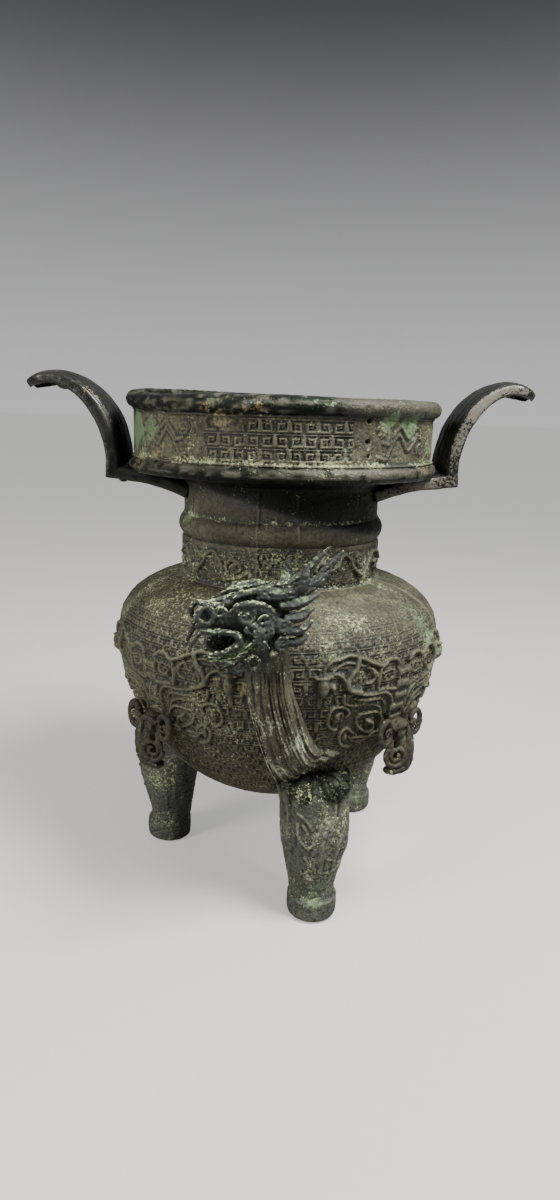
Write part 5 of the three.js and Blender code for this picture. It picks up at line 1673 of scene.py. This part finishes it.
def build_stage():
    """Pale floor, grey surround, soft lights and the camera."""
    stage = bpy.context.scene.ding_stage
    scene = bpy.context.scene
    floor_mesh = bpy.data.meshes.new("floor")
    angle = np.radians(np.arange(0, 360, 5))
    rings = np.array([0.02, 0.3, 1.0, 4.0, 30.0]) / MM
    across = rings[:, None] * np.cos(angle)
    points = np.stack([across, rings[:, None] * np.sin(angle), 0 * across], axis=-1)
    rim = np.arange(len(angle))
    cap = np.stack([np.full(len(rim), points[..., 0].size), rim, np.roll(rim, -1)], axis=1)
    flat = np.vstack([points.reshape(-1, 3), [0, 0, 0]])
    fill_mesh(floor_mesh, flat, [grid_faces(*across.shape, wrap_columns=True)[:, ::-1], cap])
    floor = bpy.data.objects.new("floor", floor_mesh)
    scene.collection.objects.link(floor)
    material = bpy.data.materials.new("Pale floor")
    material.use_nodes = True
    tree = material.node_tree
    shader = tree.nodes["Principled BSDF"]
    shader.inputs["Roughness"].default_value = 0.9
    shader.inputs["Specular IOR Level"].default_value = 0.2
    place = node(tree, "ShaderNodeTexCoord").outputs["Object"]
    seen = node(tree, "ShaderNodeLightPath").outputs["Is Camera Ray"]
    pale = stage.floor_colour
    tone = mix_colour(tree, noise(tree, place, 0.006, 3.0), shaded(pale, 0.95), pale)
    tone = mix_colour(tree, seen, shaded(pale, FLOOR_BOUNCE), tone)
    tree.links.new(tone, shader.inputs["Base Color"])
    tree.links.new(mix_colour(tree, seen, (0, 0, 0), FLOOR_GLOW), shader.inputs["Emission Color"])
    shader.inputs["Emission Strength"].default_value = 1.0
    floor_mesh.materials.append(material)

    for name, where, size, power, colour in LIGHTS:
        light = bpy.data.lights.new(name, "AREA")
        light.shape = "DISK"
        light.size = size
        light.energy = power
        light.color = colour
        lamp = bpy.data.objects.new(name, light)
        scene.collection.objects.link(lamp)
        lamp.location = where
        lamp.rotation_mode = "QUATERNION"
        lamp.rotation_quaternion = (Vector(LIGHT_AIM) - Vector(where)).to_track_quat("-Z", "Y")

    world = bpy.data.worlds.new("Grey surround")
    scene.world = world
    world.use_nodes = True
    tree = world.node_tree
    tree.nodes.clear()
    direction = node(tree, "ShaderNodeTexCoord").outputs["Generated"]
    rise = node(tree, "ShaderNodeSeparateXYZ", {0: direction}).outputs[2]
    rise = math_node(tree, "MAXIMUM", rise, 0.0)
    wall = mix_colour(tree, ramp(tree, rise, -0.06, WALL_TOP_RISE), WALL_LOW, WALL_HIGH)
    dome = mix_colour(tree, rise, DOME_LOW, DOME_HIGH)
    seen = node(tree, "ShaderNodeLightPath").outputs["Is Camera Ray"]
    background = node(tree, "ShaderNodeBackground", {"Color": mix_colour(tree, seen, dome, wall)})
    tree.links.new(background.outputs[0], node(tree, "ShaderNodeOutputWorld").inputs["Surface"])

    camera = bpy.data.cameras.new("view")
    camera.sensor_width = 36.0
    camera.lens = stage.lens
    camera.clip_start = 0.01
    viewer = bpy.data.objects.new("view", camera)
    scene.collection.objects.link(viewer)
    pitch, roll = stage.pitch, stage.roll
    right = np.array([1.0, 0.0, 0.0])
    up = np.array([0.0, np.sin(pitch), np.cos(pitch)])
    ahead = np.array([0.0, np.cos(pitch), -np.sin(pitch)])
    rolled_right = np.cos(roll) * right + np.sin(roll) * up
    rolled_up = -np.sin(roll) * right + np.cos(roll) * up
    place = Matrix(np.stack([rolled_right, rolled_up, -ahead], axis=1).tolist()).to_4x4()
    place.translation = (AXIS[0] * MM + CAMERA_SIDESTEP, AXIS[1] * MM - stage.camera_distance,
                         stage.camera_height)
    viewer.matrix_world = place
    scene.camera = viewer


CAMERA_SIDESTEP = 0.00075   # metres to the right of the vessel's axis
LIGHT_AIM = (0.0, 0.0, 0.14)
LIGHTS = (
    ("overhead", (0.36, -0.26, 0.86), 0.36, 23.0, (1.0, 0.99, 0.96)),
    ("window left", (-0.90, -0.60, 0.52), 0.40, 14.0, (1.0, 0.98, 0.95)),
    ("window right", (0.85, -0.60, 0.75), 0.30, 5.0, (0.97, 0.99, 1.0)),
)
FLOOR_BOUNCE = 0.75     # how much of its paleness the floor throws back up
FLOOR_GLOW = (0.37, 0.365, 0.36)
DOME_LOW = (0.10, 0.10, 0.105)
DOME_HIGH = (0.70, 0.70, 0.71)
WALL_LOW = (0.61, 0.61, 0.62)
WALL_HIGH = (0.045, 0.045, 0.05)
WALL_TOP_RISE = 0.48    # the sine of the height angle at which the wall is darkest


# ---------------------------------------------------------------- operators and panel


class DING_OT_stage(bpy.types.Operator):
    """Set the floor, lights and camera"""

    bl_idname = "ding.stage"
    bl_label = "Stage"

    def execute(self, context):
        build_stage()
        return {"FINISHED"}


class DING_OT_belly(bpy.types.Operator):
    """Build the carved belly"""

    bl_idname = "ding.belly"
    bl_label = "Belly"

    def execute(self, context):
        build_belly()
        build_belly_base()
        return {"FINISHED"}


class DING_OT_neck(bpy.types.Operator):
    """Build the neck and its ring"""

    bl_idname = "ding.neck"
    bl_label = "Neck"

    def execute(self, context):
        build_neck()
        return {"FINISHED"}


class DING_OT_drum(bpy.types.Operator):
    """Build the drum with its flange and lip"""

    bl_idname = "ding.drum"
    bl_label = "Drum"

    def execute(self, context):
        build_drum()
        return {"FINISHED"}


class DING_OT_handles(bpy.types.Operator):
    """Build the two strap handles"""

    bl_idname = "ding.handles"
    bl_label = "Handles"

    def execute(self, context):
        build_handle("handle_right", 1)
        build_handle("handle_left", -1)
        return {"FINISHED"}


class DING_OT_legs(bpy.types.Operator):
    """Build the three hoofed legs"""

    bl_idname = "ding.legs"
    bl_label = "Legs"

    def execute(self, context):
        carving = {"leg_front": FRONT_LEG_LINES, "leg_left": SIDE_LEG_LINES, "leg_rear": ()}
        for node_name, lines in carving.items():
            build_leg(node_name, lines)
        return {"FINISHED"}


class DING_OT_beasts(bpy.types.Operator):
    """Build the beast heads that hang below the front masks"""

    bl_idname = "ding.beasts"
    bl_label = "Beast heads"

    def execute(self, context):
        build_beast_head("beast_head_right", BEAST_AZIMUTH)
        build_beast_head("beast_head_left", -BEAST_AZIMUTH)
        return {"FINISHED"}


class DING_OT_dragon(bpy.types.Operator):
    """Build the dragon's neck and head"""

    bl_idname = "ding.dragon"
    bl_label = "Dragon"

    def execute(self, context):
        build_dragon_neck()
        build_dragon_head()
        return {"FINISHED"}


OPERATORS = (DING_OT_stage, DING_OT_belly, DING_OT_neck, DING_OT_drum, DING_OT_handles, DING_OT_legs,
             DING_OT_beasts, DING_OT_dragon)


class DING_PT_panel(bpy.types.Panel):
    """Sizes, colours and steps of the ding."""

    bl_idname = "DING_PT_panel"
    bl_label = "Ding"
    bl_space_type = "VIEW_3D"
    bl_region_type = "UI"
    bl_category = "Ding"

    def draw(self, context):
        for group in (context.scene.ding_sizes, context.scene.ding_colours, context.scene.ding_stage):
            box = self.layout.box()
            for name in group.__annotations__:
                box.prop(group, name)
        for operator in OPERATORS:
            self.layout.operator(operator.bl_idname)


CLASSES = (DingSizes, DingColours, DingStage, *OPERATORS, DING_PT_panel)


def register():
    for cls in CLASSES:
        bpy.utils.register_class(cls)
    bpy.types.Scene.ding_sizes = PointerProperty(type=DingSizes)
    bpy.types.Scene.ding_colours = PointerProperty(type=DingColours)
    bpy.types.Scene.ding_stage = PointerProperty(type=DingStage)


def unregister():
    for name in ("ding_sizes", "ding_colours", "ding_stage"):
        delattr(bpy.types.Scene, name)
    for cls in reversed(CLASSES):
        bpy.utils.unregister_class(cls)


def main():
    register()
    for step in ("stage", "belly", "neck", "drum", "handles", "legs", "beasts", "dragon"):
        getattr(bpy.ops.ding, step)()


if __name__ == "__main__":
    main()
